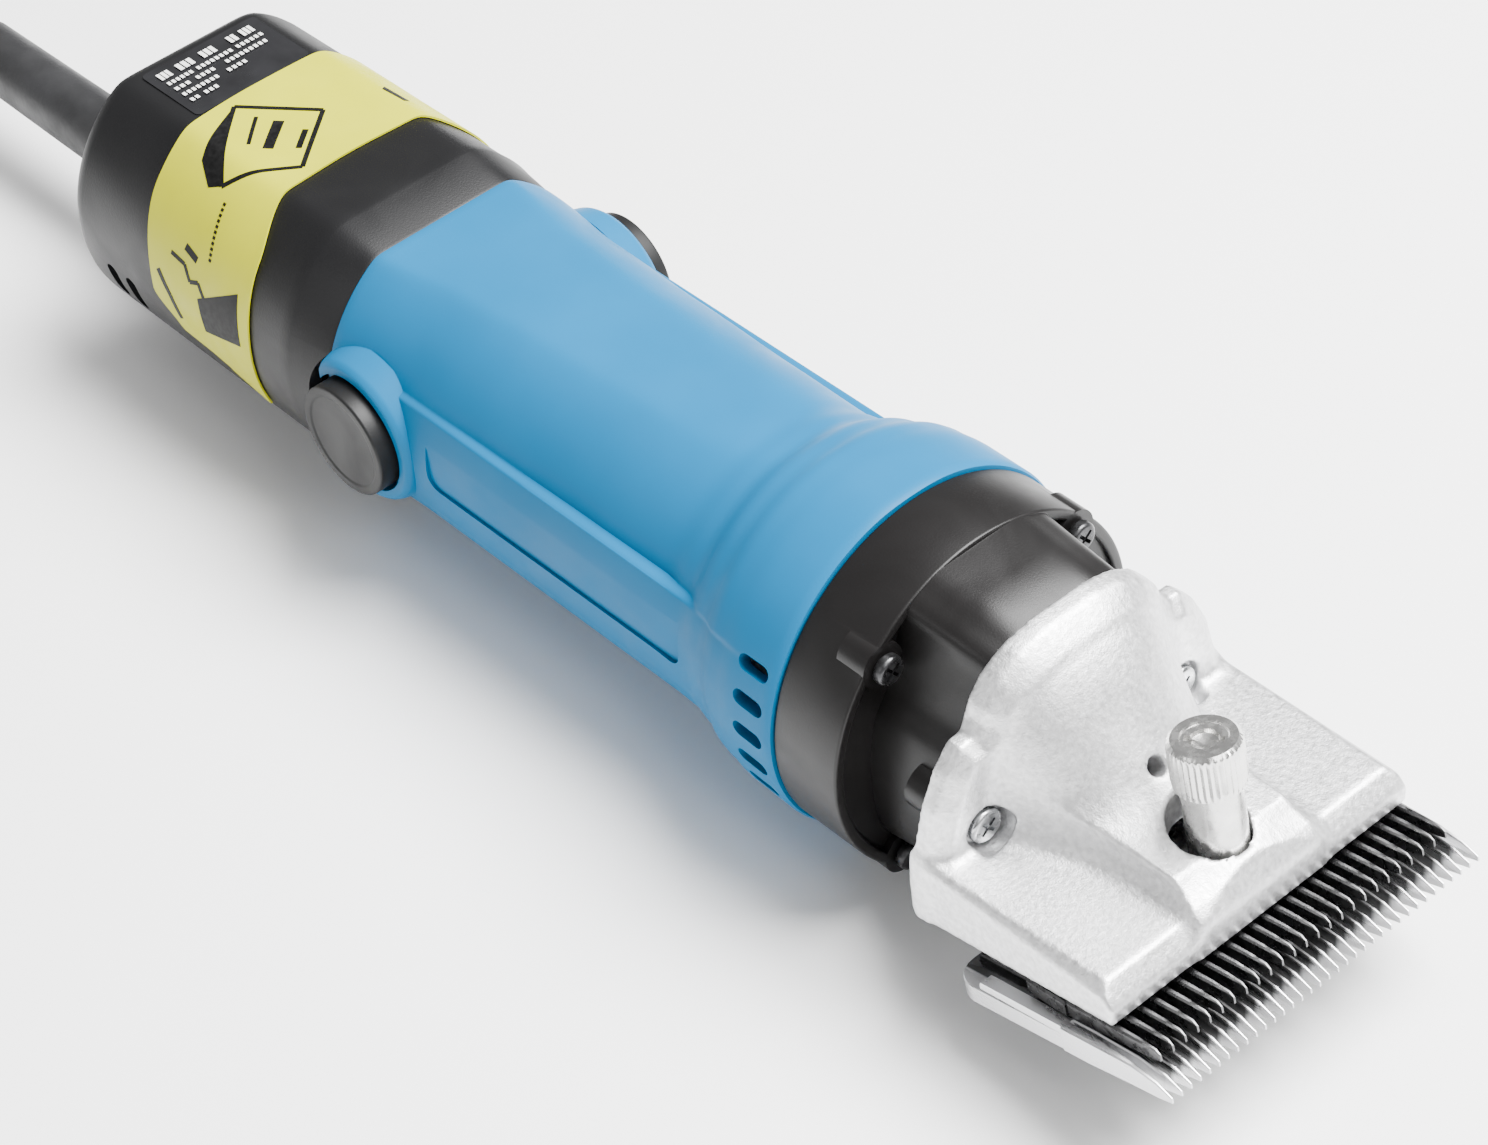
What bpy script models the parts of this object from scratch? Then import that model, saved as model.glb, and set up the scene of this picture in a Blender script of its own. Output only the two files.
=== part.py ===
"""Electric sheep shears: motor handle, gearbox nose, cast head, comb and cutter, and a mains lead.

Every length below is in millimetres and MM turns it into Blender's metres. The tool's own frame has X
forward along the motor axis, Y to the left and Z up. Its X stations count from the plane of the cord
clamp, 16 mm ahead of the rear face. The blade frame lies in the comb's underside, its X towards the tips.
"""

import math

import bmesh
import bpy
from mathutils import Matrix, Vector

MM = 0.001
GAP = 0.3  # clearance between pieces that touch

# Stations along the motor axis
REAR_FACE = -16.0
CAP_FRONT = 67.8
HANDLE_REAR = 68.1
HANDLE_FRONT = 196.6
RING_FRONT = 212.5
NOSE_FRONT = 230.9
HEAD_REAR = 231.2

# Cross sections
CAP_RADIUS = 32.5
CAP_FLAT = 28.0  # height of the flats above and below the axis
HANDLE_BORE = 26.8
COLLAR_RADIUS = 36.0  # the widest turned part, on which the tool lies
RING_RADIUS = 35.2
SIDES = 40

# Blades
BLADE_TILT = math.radians(12.2)
BLADE_ORIGIN = (243.1, -23.0)  # X and Z of the rear edge of the comb's underside
COMB_WIDTH = 76.2  # a standard three inch comb
COMB_LENGTH = 51.0
COMB_THICKNESS = 4.9
COMB_TEETH = 35
CUTTER_TEETH = 25
CUTTER_WIDTH = 71.6
CUTTER_REAR = 14.0
CUTTER_TIP = 46.6
CUTTER_BASE = 5.1
CUTTER_TOP = 7.9

# Tension knob
TENSION_TILT = math.radians(9.0)
TENSION_BASE = (267.3, 5.3)  # X and Z where the knob's axis leaves the casting
KNOB_RADIUS = 6.5
STEM_RADIUS = 5.3

# Drive
GEAR_MODULE = 0.6
PINION_TEETH = 10
GEAR_TEETH = 42
CENTRE_DISTANCE = GEAR_MODULE * (PINION_TEETH + GEAR_TEETH) / 2 + 0.15
CRANK_THROW = 1.1
SHAFT_RADIUS = 4.2
BRUSH_STATION = 77.8

# Mains lead
CORD_DIAMETER = 7.0
CORD_HEIGHT = -14.0  # height of the cord's exit against the motor axis
GUARD_END = -100.0
COIL_COLUMNS = 3
COIL_LAYERS = 4
COIL_MEAN_RADIUS = 42.0
COIL_CENTRE = (-208.0, 18.0)
PLUG_THICKNESS = 14.4
PLUG_REAR = -9.0
PIN_SPACING = 19.0

FLOOR = -COLLAR_RADIUS
COMB_TIP = BLADE_ORIGIN[0] + COMB_LENGTH * math.cos(BLADE_TILT)
TOOL_CENTRE = (REAR_FACE + COMB_TIP) / 2

SCREW_PLACES = [(22.8, 21.8), (-22.8, 21.8), (20.5, -24.5), (-20.5, -24.5)]
CAP_SCREW_PLACES = [(20.0, 8.0), (-20.0, 8.0)]


# ---------------------------------------------------------------- helpers


def clear_scene():
    for obj in list(bpy.data.objects):
        bpy.data.objects.remove(obj, do_unlink=True)


def material(name, colour, roughness, metallic=0.0):
    made = bpy.data.materials.new(name)
    made.use_nodes = True
    shader = made.node_tree.nodes["Principled BSDF"]
    shader.inputs["Base Color"].default_value = (*colour, 1.0)
    shader.inputs["Roughness"].default_value = roughness
    shader.inputs["Metallic"].default_value = metallic
    made.diffuse_color = (*colour, 1.0)
    return made


def axis_empty(name, place, turn_y=0.0, parent=None):
    """An empty that marks a frame or a joint's axis, turned about Y."""
    empty = bpy.data.objects.new(name, None)
    empty.empty_display_size = 0.02
    empty.location = Vector(place) * MM
    empty.rotation_euler = (0.0, turn_y, 0.0)
    empty.parent = parent
    bpy.context.collection.objects.link(empty)
    return empty


def finish_mesh(name, bm, frame, finish, place=(0.0, 0.0, 0.0), turn=(0.0, 0.0, 0.0)):
    """Makes an object of a mesh in millimetres, with its faces out and its round sides smooth."""
    bmesh.ops.recalc_face_normals(bm, faces=bm.faces)
    bmesh.ops.scale(bm, vec=(MM, MM, MM), verts=bm.verts)
    mesh = bpy.data.meshes.new(name)
    bm.to_mesh(mesh)
    bm.free()
    mesh.shade_smooth()
    mesh.set_sharp_from_angle(angle=math.radians(30))
    mesh.materials.append(finish)
    obj = bpy.data.objects.new(name, mesh)
    obj.parent = frame
    obj.location = Vector(place) * MM
    obj.rotation_euler = turn
    bpy.context.collection.objects.link(obj)
    return obj


def loft(name, rings, frame, finish, closed=False, **where):
    """Joins rings of equal count. The ends are capped, or the last ring meets the first."""
    bm = bmesh.new()
    rows = [[bm.verts.new(point) for point in ring] for ring in rings]
    pairs = list(zip(rows, rows[1:]))
    if closed:
        pairs.append((rows[-1], rows[0]))
    for near, far in pairs:
        for i in range(len(near)):
            j = (i + 1) % len(near)
            bm.faces.new((near[i], near[j], far[j], far[i]))
    if not closed:
        bm.faces.new(rows[0])
        bm.faces.new(rows[-1])
    return finish_mesh(name, bm, frame, finish, **where)


def circle(x, radius, count, centre=(0.0, 0.0)):
    steps = [2 * math.pi * i / count for i in range(count)]
    return [(x, centre[0] + radius * math.cos(a), centre[1] + radius * math.sin(a)) for a in steps]


def flatted(x, radius, flat, count=SIDES):
    """A circle across the X axis with a flat above and below."""
    return [(px, y, max(-flat, min(flat, z))) for px, y, z in circle(x, radius, count)]


def handle_ring(x, low, high, flat):
    """The handle's section: the palm side has radius low, and above the two side ridges radius high."""
    ridge = math.sin(math.radians(22))
    points = []
    for i in range(SIDES):
        a = 2 * math.pi * i / SIDES
        radius = high if math.sin(a) > ridge else low
        z = max(-flat, min(flat, radius * math.sin(a)))
        points.append((x, radius * math.cos(a), z))
    return points


def turned(name, profile, frame, finish, count=24, closed=False, **where):
    """Turns (x, radius) points about the X axis. A closed profile makes a ring, an open one a solid."""
    rings = [circle(x, radius, count) for x, radius in profile]
    return loft(name, rings, frame, finish, closed=closed, **where)


def tube(name, start, end, outer, inner, frame, finish, count=24, **where):
    profile = [(start, outer), (end, outer), (end, inner), (start, inner)]
    return turned(name, profile, frame, finish, count, closed=True, **where)


def prism(name, outline, start, end, axis, frame, finish, **where):
    """Extrudes a flat outline along an axis. The outline holds the two other coordinates in XYZ order."""
    place = {
        "X": lambda a, b, c: (c, a, b),
        "Y": lambda a, b, c: (a, c, b),
        "Z": lambda a, b, c: (a, b, c),
    }[axis]
    rings = [[place(a, b, c) for a, b in outline] for c in (start, end)]
    return loft(name, rings, frame, finish, **where)


def box(name, low, high, frame, finish, bevel=0.0, **where):
    outline = [(low[0], low[1]), (high[0], low[1]), (high[0], high[1]), (low[0], high[1])]
    obj = prism(name, outline, low[2], high[2], "Z", frame, finish, **where)
    if bevel:
        edge = obj.modifiers.new("edges", "BEVEL")
        edge.width = bevel * MM
        edge.segments = 1
        edge.limit_method = "ANGLE"
    return obj


def boolean(body, tool, operation):
    step = body.modifiers.new(tool.name, "BOOLEAN")
    step.operation = operation
    step.object = tool
    step.solver = "EXACT"
    tool.hide_render = True
    tool.display_type = "WIRE"
    return body


def cut(body, *tools):
    for tool in tools:
        boolean(body, tool, "DIFFERENCE")
    return body


def unite(body, *tools):
    for tool in tools:
        boolean(body, tool, "UNION")
    return body


def drill(name, start, end, radius, frame, centre=(0.0, 0.0), count=16):
    """A round cutter along X at centre (y, z)."""
    rings = [circle(start, radius, count, centre), circle(end, radius, count, centre)]
    return loft(name, rings, frame, FINISH["cutter"])


def boxes(name, places, size, frame, finish):
    """Several equal boxes in one cutter. Each place is a matrix in millimetres."""
    bm = bmesh.new()
    for place in places:
        grow = Matrix.Diagonal((*size, 1.0))
        bmesh.ops.create_cube(bm, size=1.0, matrix=place @ grow)
    return finish_mesh(name, bm, frame, finish)


def coil_spring(name, turns, radius, wire, length, frame, finish, **where):
    """An open helix of square-section wire along its own Z, from 0 to length."""
    steps = 8
    count = int(turns * steps)
    rings = []
    for i in range(count + 1):
        a = 2 * math.pi * i / steps
        z = wire + (length - 2 * wire) * i / count
        across = Vector((math.cos(a), math.sin(a), 0.0))
        centre = across * radius + Vector((0.0, 0.0, z))
        up = Vector((0.0, 0.0, 1.0))
        corners = (across + up, up - across, -across - up, across - up)
        rings.append([tuple(centre + wire * corner) for corner in corners])
    return loft(name, rings, frame, finish, **where)


def gear_outline(teeth, module, phase):
    """A gear with straight-sided teeth, thinned for running clearance."""
    pitch_radius = module * teeth / 2
    root = pitch_radius - 1.25 * module
    tip = pitch_radius + 0.85 * module
    step = 2 * math.pi / teeth
    points = []
    for k in range(teeth):
        for radius, part in ((root, -0.27), (tip, -0.10), (tip, 0.10), (root, 0.27)):
            a = phase + (k + part) * step
            points.append((radius * math.cos(a), radius * math.sin(a)))
    return points


def smooth_route(points, spacing):
    """Points about spacing apart on a Catmull-Rom curve through a route."""
    ends = [2 * points[0] - points[1], *points, 2 * points[-1] - points[-2]]
    line = []
    for i in range(1, len(ends) - 2):
        a, b, c, d = ends[i - 1 : i + 3]
        steps = max(1, round((c - b).length / spacing))
        for s in range(steps):
            t = s / steps
            line.append(
                0.5 * (2 * b + (c - a) * t + (2 * a - 5 * b + 4 * c - d) * t**2 + (3 * b - a - 3 * c + d) * t**3)
            )
    return [*line, points[-1]]


def cord_tube(name, points, frame, finish):
    """A round cable along a poly line, with filled ends."""
    curve = bpy.data.curves.new(name, "CURVE")
    curve.dimensions = "3D"
    curve.bevel_depth = CORD_DIAMETER / 2 * MM
    curve.bevel_resolution = 2
    curve.use_fill_caps = True
    spline = curve.splines.new("POLY")
    spline.points.add(len(points) - 1)
    for knot, point in zip(spline.points, points):
        knot.co = (*(point * MM), 1.0)
    curve.materials.append(finish)
    obj = bpy.data.objects.new(name, curve)
    obj.parent = frame
    bpy.context.collection.objects.link(obj)
    return obj


FINISH = {}


def make_finishes():
    colours = {
        "handle_blue": ((0.03, 0.42, 0.80), 0.42, 0.0),
        "black_plastic": ((0.030, 0.030, 0.033), 0.45, 0.0),
        "cap_black": ((0.035, 0.035, 0.037), 0.35, 0.0),
        "rubber": ((0.020, 0.020, 0.022), 0.60, 0.0),
        "cast_alloy": ((0.78, 0.79, 0.80), 0.38, 1.0),
        "blade_steel": ((0.62, 0.63, 0.65), 0.25, 1.0),
        "steel": ((0.55, 0.56, 0.58), 0.30, 1.0),
        "nickel": ((0.80, 0.80, 0.78), 0.20, 1.0),
        "brass": ((0.75, 0.55, 0.25), 0.30, 1.0),
        "copper": ((0.60, 0.26, 0.12), 0.35, 1.0),
        "lamination": ((0.20, 0.20, 0.22), 0.50, 0.8),
        "carbon": ((0.05, 0.05, 0.05), 0.70, 0.0),
        "nylon": ((0.75, 0.73, 0.65), 0.50, 0.0),
        "label_black": ((0.015, 0.015, 0.017), 0.15, 0.0),
        "label_yellow": ((0.86, 0.80, 0.10), 0.45, 0.0),
        "cutter": ((1.0, 0.0, 1.0), 0.5, 0.0),
    }
    for name, values in colours.items():
        FINISH[name] = material(name, *values)


# ---------------------------------------------------------------- rear cap and lead entry


def make_rear_cap(tool):
    plastic = FINISH["black_plastic"]
    outside = [
        (CAP_FRONT, 31.9, 27.6),
        (59.2, 31.7, 27.4),
        (57.4, 32.9, 28.7),
        (54.0, 32.8, 28.4),
        (0.0, CAP_RADIUS, CAP_FLAT),
        (-12.5, CAP_RADIUS - 0.2, CAP_FLAT),
        (-14.8, 31.2, 27.0),
        (REAR_FACE, 28.8, 24.8),
    ]
    inside = [(-13.0, 29.2, 25.2), (CAP_FRONT, 29.2, 25.2)]
    rings = [flatted(*station) for station in inside + outside]
    cap = loft("rear_cap", rings, tool, plastic)
    guard_hole = drill("guard_hole", -18, -11, 6.6, tool, (0, CORD_HEIGHT))
    switch_slot = box("switch_slot", (22.4, -3.8, -31), (37.6, 3.8, -24), tool, FINISH["cutter"])
    cut(cap, guard_hole, switch_slot)
    for i, place in enumerate(CAP_SCREW_PLACES):
        cut(cap, drill(f"cap_screw_hole_{i}", -18, -11, 1.9, tool, place, 12))
        cut(cap, drill(f"cap_screw_seat_{i}", -18, -14.1, 3.4, tool, place, 12))
    slots = [
        Matrix.Translation((x, side * 31, -9)) for side in (-1, 1) for x in (-4.5, 2.0)
    ]
    cut(cap, boxes("air_intake_cutter", slots, (3.6, 8, 9), tool, FINISH["cutter"]))
    for side, sign in (("left", 1), ("right", -1)):
        where = {"place": (BRUSH_STATION, 0, 0), "turn": (0, 0, sign * math.pi / 2)}
        cut(cap, turned(f"boss_notch_{side}", [(20, 13.2), (40, 13.2)], tool, FINISH["cutter"], 24, **where))
    for side, place in zip(("left", "right"), CAP_SCREW_PLACES):
        make_cap_screw(f"rear_cap_screw_{side}", place, tool)
    return cap


def make_cap_screw(name, place, tool):
    profile = [(-15.8, 0.6), (-15.8, 3.0), (-14.4, 3.0), (-14.4, 1.55), (64.0, 1.55), (64.0, 0.6)]
    screw = turned(name, profile, tool, FINISH["steel"], 10, place=(0, *place))
    return screw


def make_labels(tool):
    box("rating_plate", (-11, -13, CAP_FLAT + 0.3), (8.2, 15, CAP_FLAT + 0.7), tool, FINISH["label_black"])
    first, last = math.radians(-24), math.radians(204)
    steps = 26
    rings = []
    for x in (8.6, 45.0):
        ring = []
        for offset in (0.7, 0.35):
            arc = []
            for i in range(steps + 1):
                a = first + (last - first) * i / steps
                radius = CAP_RADIUS + 0.4 * x / 54 + offset
                arc.append((x, radius * math.cos(a), min(CAP_FLAT + 0.4 * x / 54 + offset, radius * math.sin(a))))
            ring += arc if offset > 0.5 else arc[::-1]
        rings.append(ring)
    loft("wrap_label", rings, tool, FINISH["label_yellow"])


def make_switch(tool):
    box("switch_body", (14, -8, -24.6), (46, 8, -9), tool, FINISH["black_plastic"], bevel=0.8)
    bm = bmesh.new()
    pad = Matrix.Translation((0, 0, -29.6)) @ Matrix.Diagonal((15, 13, 2.4, 1))
    bmesh.ops.create_cube(bm, size=1.0, matrix=pad)
    slider = finish_mesh("switch_slider", bm, tool, FINISH["cap_black"], place=(27, 0, 0))
    neck = box("switch_neck", (-3, -3, -29), (3, 3, -24.9), tool, FINISH["cutter"], place=(27, 0, 0))
    unite(slider, neck)
    box("suppressor_capacitor", (16, -11, 2), (42, 11, 16), tool, FINISH["nylon"], bevel=1.0)


def make_lead_entry(tool):
    rubber = FINISH["rubber"]
    profile = [
        (-10.2, 9.2),
        (-12.7, 9.2),
        (-12.7, 6.3),
        (-16.3, 6.3),
        (-16.3, 7.9),
        (-20.0, 7.5),
        (-60.0, 7.3),
        (GUARD_END + 1.5, 6.7),
        (GUARD_END, 5.8),
        (GUARD_END, 3.8),
        (-10.2, 3.8),
    ]
    turned("cord_guard", profile, tool, rubber, 20, closed=True, place=(0, 0, CORD_HEIGHT))
    clamp = box("cord_clamp", (-7, -11, -18.4), (1, 11, -9.6), tool, FINISH["nylon"], bevel=0.8)
    cut(clamp, drill("clamp_bore", -9, 3, 3.9, tool, (0, CORD_HEIGHT)))
    # A short length of the lead is gripped by the clamp inside the cap.
    turned(
        "lead_inner_end",
        [(-9.8, 0.5), (-9.8, 3.4), (11.0, 3.4), (11.0, 0.5)],
        tool,
        rubber,
        16,
        place=(0, 0, CORD_HEIGHT),
    )


# ---------------------------------------------------------------- handle


def make_handle(tool):
    blue = FINISH["handle_blue"]
    outside = [
        (60.5, 28.8, 28.8, 24.8),
        (HANDLE_REAR, 28.8, 28.8, 24.8),
        (HANDLE_REAR, 31.9, 31.9, 27.6),
        (90.0, 31.3, 30.3, 27.7),
        (114.0, 31.3, 29.7, 27.8),
        (140.0, 31.3, 29.2, 27.9),
        (162.0, 31.3, 28.9, 28.4),
        (169.0, 31.6, 30.6, 30.4),
        (174.0, 32.6, 33.4, 33.4),
        (180.0, 34.9, 35.5, 35.5),
        (186.0, 35.8, COLLAR_RADIUS, COLLAR_RADIUS),
        (HANDLE_FRONT, COLLAR_RADIUS, COLLAR_RADIUS, COLLAR_RADIUS),
    ]
    inside = [
        (HANDLE_FRONT, 33.0, 33.0, 33.0),
        (184.0, 33.0, 33.0, 33.0),
        (184.0, 29.6, 29.6, 29.6),
        (176.0, 29.6, 29.6, 29.6),
        (176.0, HANDLE_BORE, HANDLE_BORE, 25.2),
        (68.1, HANDLE_BORE, HANDLE_BORE, 25.2),
        (60.5, 26.4, 26.4, 23.0),
    ]
    rings = [handle_ring(*station) for station in outside + inside]
    handle = loft("handle_housing", rings, tool, blue, closed=True)
    for side, sign in (("left", 1), ("right", -1)):
        boss = turned(
            f"brush_boss_{side}",
            [(26.3, 12.8), (30.6, 12.8), (30.6, 7.3), (26.3, 7.3)],
            tool,
            blue,
            24,
            closed=True,
            place=(BRUSH_STATION, 0, 0),
            turn=(0, 0, sign * math.pi / 2),
        )
        bore = turned(
            f"brush_bore_{side}",
            [(20, 7.2), (30.6, 7.2), (30.6, 12.1), (40, 12.1)],
            tool,
            FINISH["cutter"],
            24,
            place=(BRUSH_STATION, 0, 0),
            turn=(0, 0, sign * math.pi / 2),
        )
        unite(handle, boss)
        cut(handle, bore)
        low, high = sorted((sign * 30.7, sign * 34))
        panel = box(f"grip_panel_{side}", (97, low, -2.6), (168, high, 11.5), tool, FINISH["cutter"])
        cut(handle, panel)
    for i, (y, z) in enumerate(SCREW_PLACES):
        unite(handle, drill(f"screw_boss_{i}", 186.5, HANDLE_FRONT - 0.1, 3.6, tool, (y, z), 12))
        cut(handle, drill(f"screw_thread_{i}", 190, 200, 1.9, tool, (y, z), 10))
    vents = []
    for middle in (0, 180):
        for k in range(-2, 3):
            turn = Matrix.Rotation(math.radians(middle + 11.4 * k), 4, "X")
            vents.append(turn @ Matrix.Translation((191, 34.5, 0)))
    cut(handle, boxes("air_outlet_cutter", vents, (7.4, 8, 3.2), tool, FINISH["cutter"]))
    return handle


def make_brush_gear(tool):
    for side, sign in (("left", 1), ("right", -1)):
        where = {"place": (BRUSH_STATION, 0, 0), "turn": (0, 0, sign * math.pi / 2)}
        holder = box(f"brush_holder_{side}", (13, -5, -5.8), (26, 5, 5.8), tool, FINISH["brass"], **where)
        channel = box(f"brush_channel_{side}", (10, -3.5, -4.2), (30, 3.5, 4.2), tool, FINISH["cutter"], **where)
        cut(holder, channel)
        box(f"carbon_brush_{side}", (11.9, -3.2, -3.9), (21.6, 3.2, 3.9), tool, FINISH["carbon"], **where)
        coil_spring(
            f"brush_spring_{side}",
            3.5,
            2.5,
            0.35,
            4.6,
            tool,
            FINISH["steel"],
            place=(BRUSH_STATION, sign * 22.0, 0),
            turn=(-sign * math.pi / 2, 0, 0),
        )
        profile = [(27.2, 0.8), (27.2, 6.9), (30.9, 6.9), (30.9, 11.6), (35.6, 11.6), (36.4, 10.8), (36.4, 0.8)]
        turned(f"brush_cap_{side}", profile, tool, FINISH["cap_black"], 28, **where)


# ---------------------------------------------------------------- motor


def make_stator(tool):
    rings = [flatted(x, 26.2, 24.8, 32) for x in (99, 139)]
    core = loft("stator_core", rings, tool, FINISH["lamination"])
    cut(core, drill("stator_bore", 90, 150, 17.6, tool, count=32))
    for i, (y, z) in enumerate([(20.3, 8), (-20.3, 8), (20.3, -8), (-20.3, -8)]):
        cut(core, drill(f"stator_slot_{i}", 90, 150, 2.8, tool, (y, z), 12))
    for name, sign in (("upper", 1), ("lower", -1)):
        make_field_coil(f"field_coil_{name}", sign, tool)


def make_field_coil(name, sign, tool):
    """A saddle-shaped winding round one pole, whose ends arch over the rotor."""
    quarter = [(119, 20.3, 8), (142, 20.3, 8), (146.5, 17.5, 12), (147.5, 10, 18.5), (147.5, 0, 20.5)]
    front = quarter + [(x, -y, z) for x, y, z in quarter[-2::-1]]
    rear = [(238 - x, y, z) for x, y, z in front[-2:0:-1]]
    path = [Vector((x, y, sign * z)) for x, y, z in front + rear]
    curve = bpy.data.curves.new(name, "CURVE")
    curve.dimensions = "3D"
    curve.bevel_depth = 2.3 * MM
    curve.bevel_resolution = 1
    spline = curve.splines.new("POLY")
    spline.points.add(len(path) - 1)
    for knot, point in zip(spline.points, path):
        knot.co = (*(point * MM), 1.0)
    spline.use_cyclic_u = True
    curve.materials.append(FINISH["copper"])
    obj = bpy.data.objects.new(name, curve)
    obj.parent = tool
    bpy.context.collection.objects.link(obj)


def make_rotor(tool):
    steel = FINISH["steel"]
    rotor_axis = axis_empty("rotor_axis", (0, 0, 0), parent=tool)
    profile = [
        (57.0, 1.0),
        (57.0, 3.4),
        (66.0, 3.4),
        (66.0, SHAFT_RADIUS),
        (174.0, SHAFT_RADIUS),
        (174.0, 3.6),
        (184.5, 3.6),
        (184.5, 2.35),
        (198.0, 2.35),
        (198.0, 1.0),
    ]
    shaft = turned("rotor_shaft", profile, rotor_axis, steel, 16)
    outline = gear_outline(PINION_TEETH, GEAR_MODULE, -math.pi / 2)
    unite(shaft, prism("pinion_teeth", outline, 187.0, 197.6, "X", rotor_axis, steel))
    bore = SHAFT_RADIUS + GAP
    tube("commutator", 70.0, 86.5, 11.2, bore, rotor_axis, FINISH["copper"], 24)
    tube("armature_winding_rear", 89.5, 97.0, 15.4, bore, rotor_axis, FINISH["copper"], 20)
    tube("armature_winding_front", 140.6, 148.5, 15.4, bore, rotor_axis, FINISH["copper"], 20)
    slots = 12
    outline = []
    for k in range(slots):
        for radius, part in ((12.0, -0.42), (16.8, -0.38), (16.8, 0.38), (12.0, 0.42)):
            a = 2 * math.pi * (k + part) / slots
            outline.append((radius * math.cos(a), radius * math.sin(a)))
    core = prism("armature_core", outline, 97.3, 140.3, "X", rotor_axis, FINISH["lamination"])
    cut(core, drill("armature_bore", 90, 150, bore, rotor_axis))
    vanes = []
    blades = 10
    for k in range(blades):
        for radius, part in ((9.0, -0.14), (24.6, -0.05), (24.6, 0.07), (9.0, 0.0)):
            a = 2 * math.pi * (k + part) / blades
            vanes.append((radius * math.cos(a), radius * math.sin(a)))
    fan = prism("cooling_fan", vanes, 160.0, 170.0, "X", rotor_axis, FINISH["nylon"])
    disc = turned("fan_disc", [(158.6, 20), (160.4, 20)], rotor_axis, FINISH["nylon"], 24)
    unite(fan, disc)
    cut(fan, drill("fan_bore", 150, 180, bore, rotor_axis))


def make_bearings(tool):
    steel = FINISH["steel"]
    rings = [flatted(x, 26.0, 22.6, 24) for x in (61.0, 64.8)]
    bracket = loft("rear_bearing_bracket", rings, tool, FINISH["cast_alloy"])
    cut(bracket, drill("rear_bearing_bore", 55, 70, 8.6, tool, count=20))
    for i, place in enumerate(CAP_SCREW_PLACES):
        cut(bracket, drill(f"bracket_hole_{i}", 55, 70, 1.9, tool, place, 10))
    tube("rear_bearing", 59.4, 65.6, 8.3, 3.7, tool, steel, 20)
    plate = turned("bearing_plate", [(176.3, 29.2), (182.7, 29.2)], tool, FINISH["cast_alloy"], 32)
    cut(plate, drill("front_bearing_bore", 170, 190, 9.4, tool, count=20))
    cut(plate, drill("crank_bearing_bore", 170, 190, 5.7, tool, (0, -CENTRE_DISTANCE), 16))
    tube("front_bearing", 176.4, 182.6, 9.1, 3.9, tool, steel, 20)
    where = {"place": (0, 0, -CENTRE_DISTANCE)}
    tube("crank_rear_bearing", 176.4, 182.6, 5.4, 2.8, tool, steel, 16, **where)
    tube("crank_front_bearing", 203.4, 209.0, 7.4, 3.8, tool, steel, 20, **where)


def make_crank(tool):
    steel = FINISH["steel"]
    crank_axis = axis_empty("crank_axis", (0, 0, -CENTRE_DISTANCE), parent=tool)
    profile = [(177, 0.8), (177, 2.5), (188, 2.5), (188, 3.5), (209.4, 3.5), (209.4, 5.6), (212, 5.6), (212, 0.8)]
    shaft = turned("crankshaft", profile, crank_axis, steel, 16)
    unite(shaft, drill("crank_pin", 211.5, 220.6, 1.6, crank_axis, (0, CRANK_THROW), 12))
    phase = math.pi / 2 + math.pi / GEAR_TEETH
    gear = prism(
        "crank_gear",
        gear_outline(GEAR_TEETH, GEAR_MODULE, phase),
        188.6,
        196.0,
        "X",
        crank_axis,
        FINISH["nylon"],
    )
    cut(gear, drill("gear_bore", 180, 200, 3.8, crank_axis))
    roller_axis = axis_empty("roller_axis", (0, 0, CRANK_THROW), parent=crank_axis)
    tube("crank_roller", 212.6, 220.3, 3.2, 1.9, roller_axis, steel, 16)


# ---------------------------------------------------------------- gearbox nose


def nose_outline(inset=0.0, shrink=1.0):
    """Half of the nose's section from the top to the bottom, mirrored."""
    half = [(7.0, 34.2), (13.0, 32.4), (16.4, 30.2), (18.2, 22.0), (20.6, 14.0), (23.8, 6.0)]
    half += [(25.4, -5.0), (24.8, -14.0), (22.3, -19.5), (16.6, -23.0), (11.0, -29.0), (4.0, -31.0)]
    right = [(y, z) for y, z in half]
    whole = right + [(-y, z) for y, z in reversed(right)]
    moved = []
    for y, z in whole:
        length = math.hypot(y, z)
        scale = shrink * (length - inset) / length
        moved.append((y * scale, z * scale))
    return moved


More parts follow.
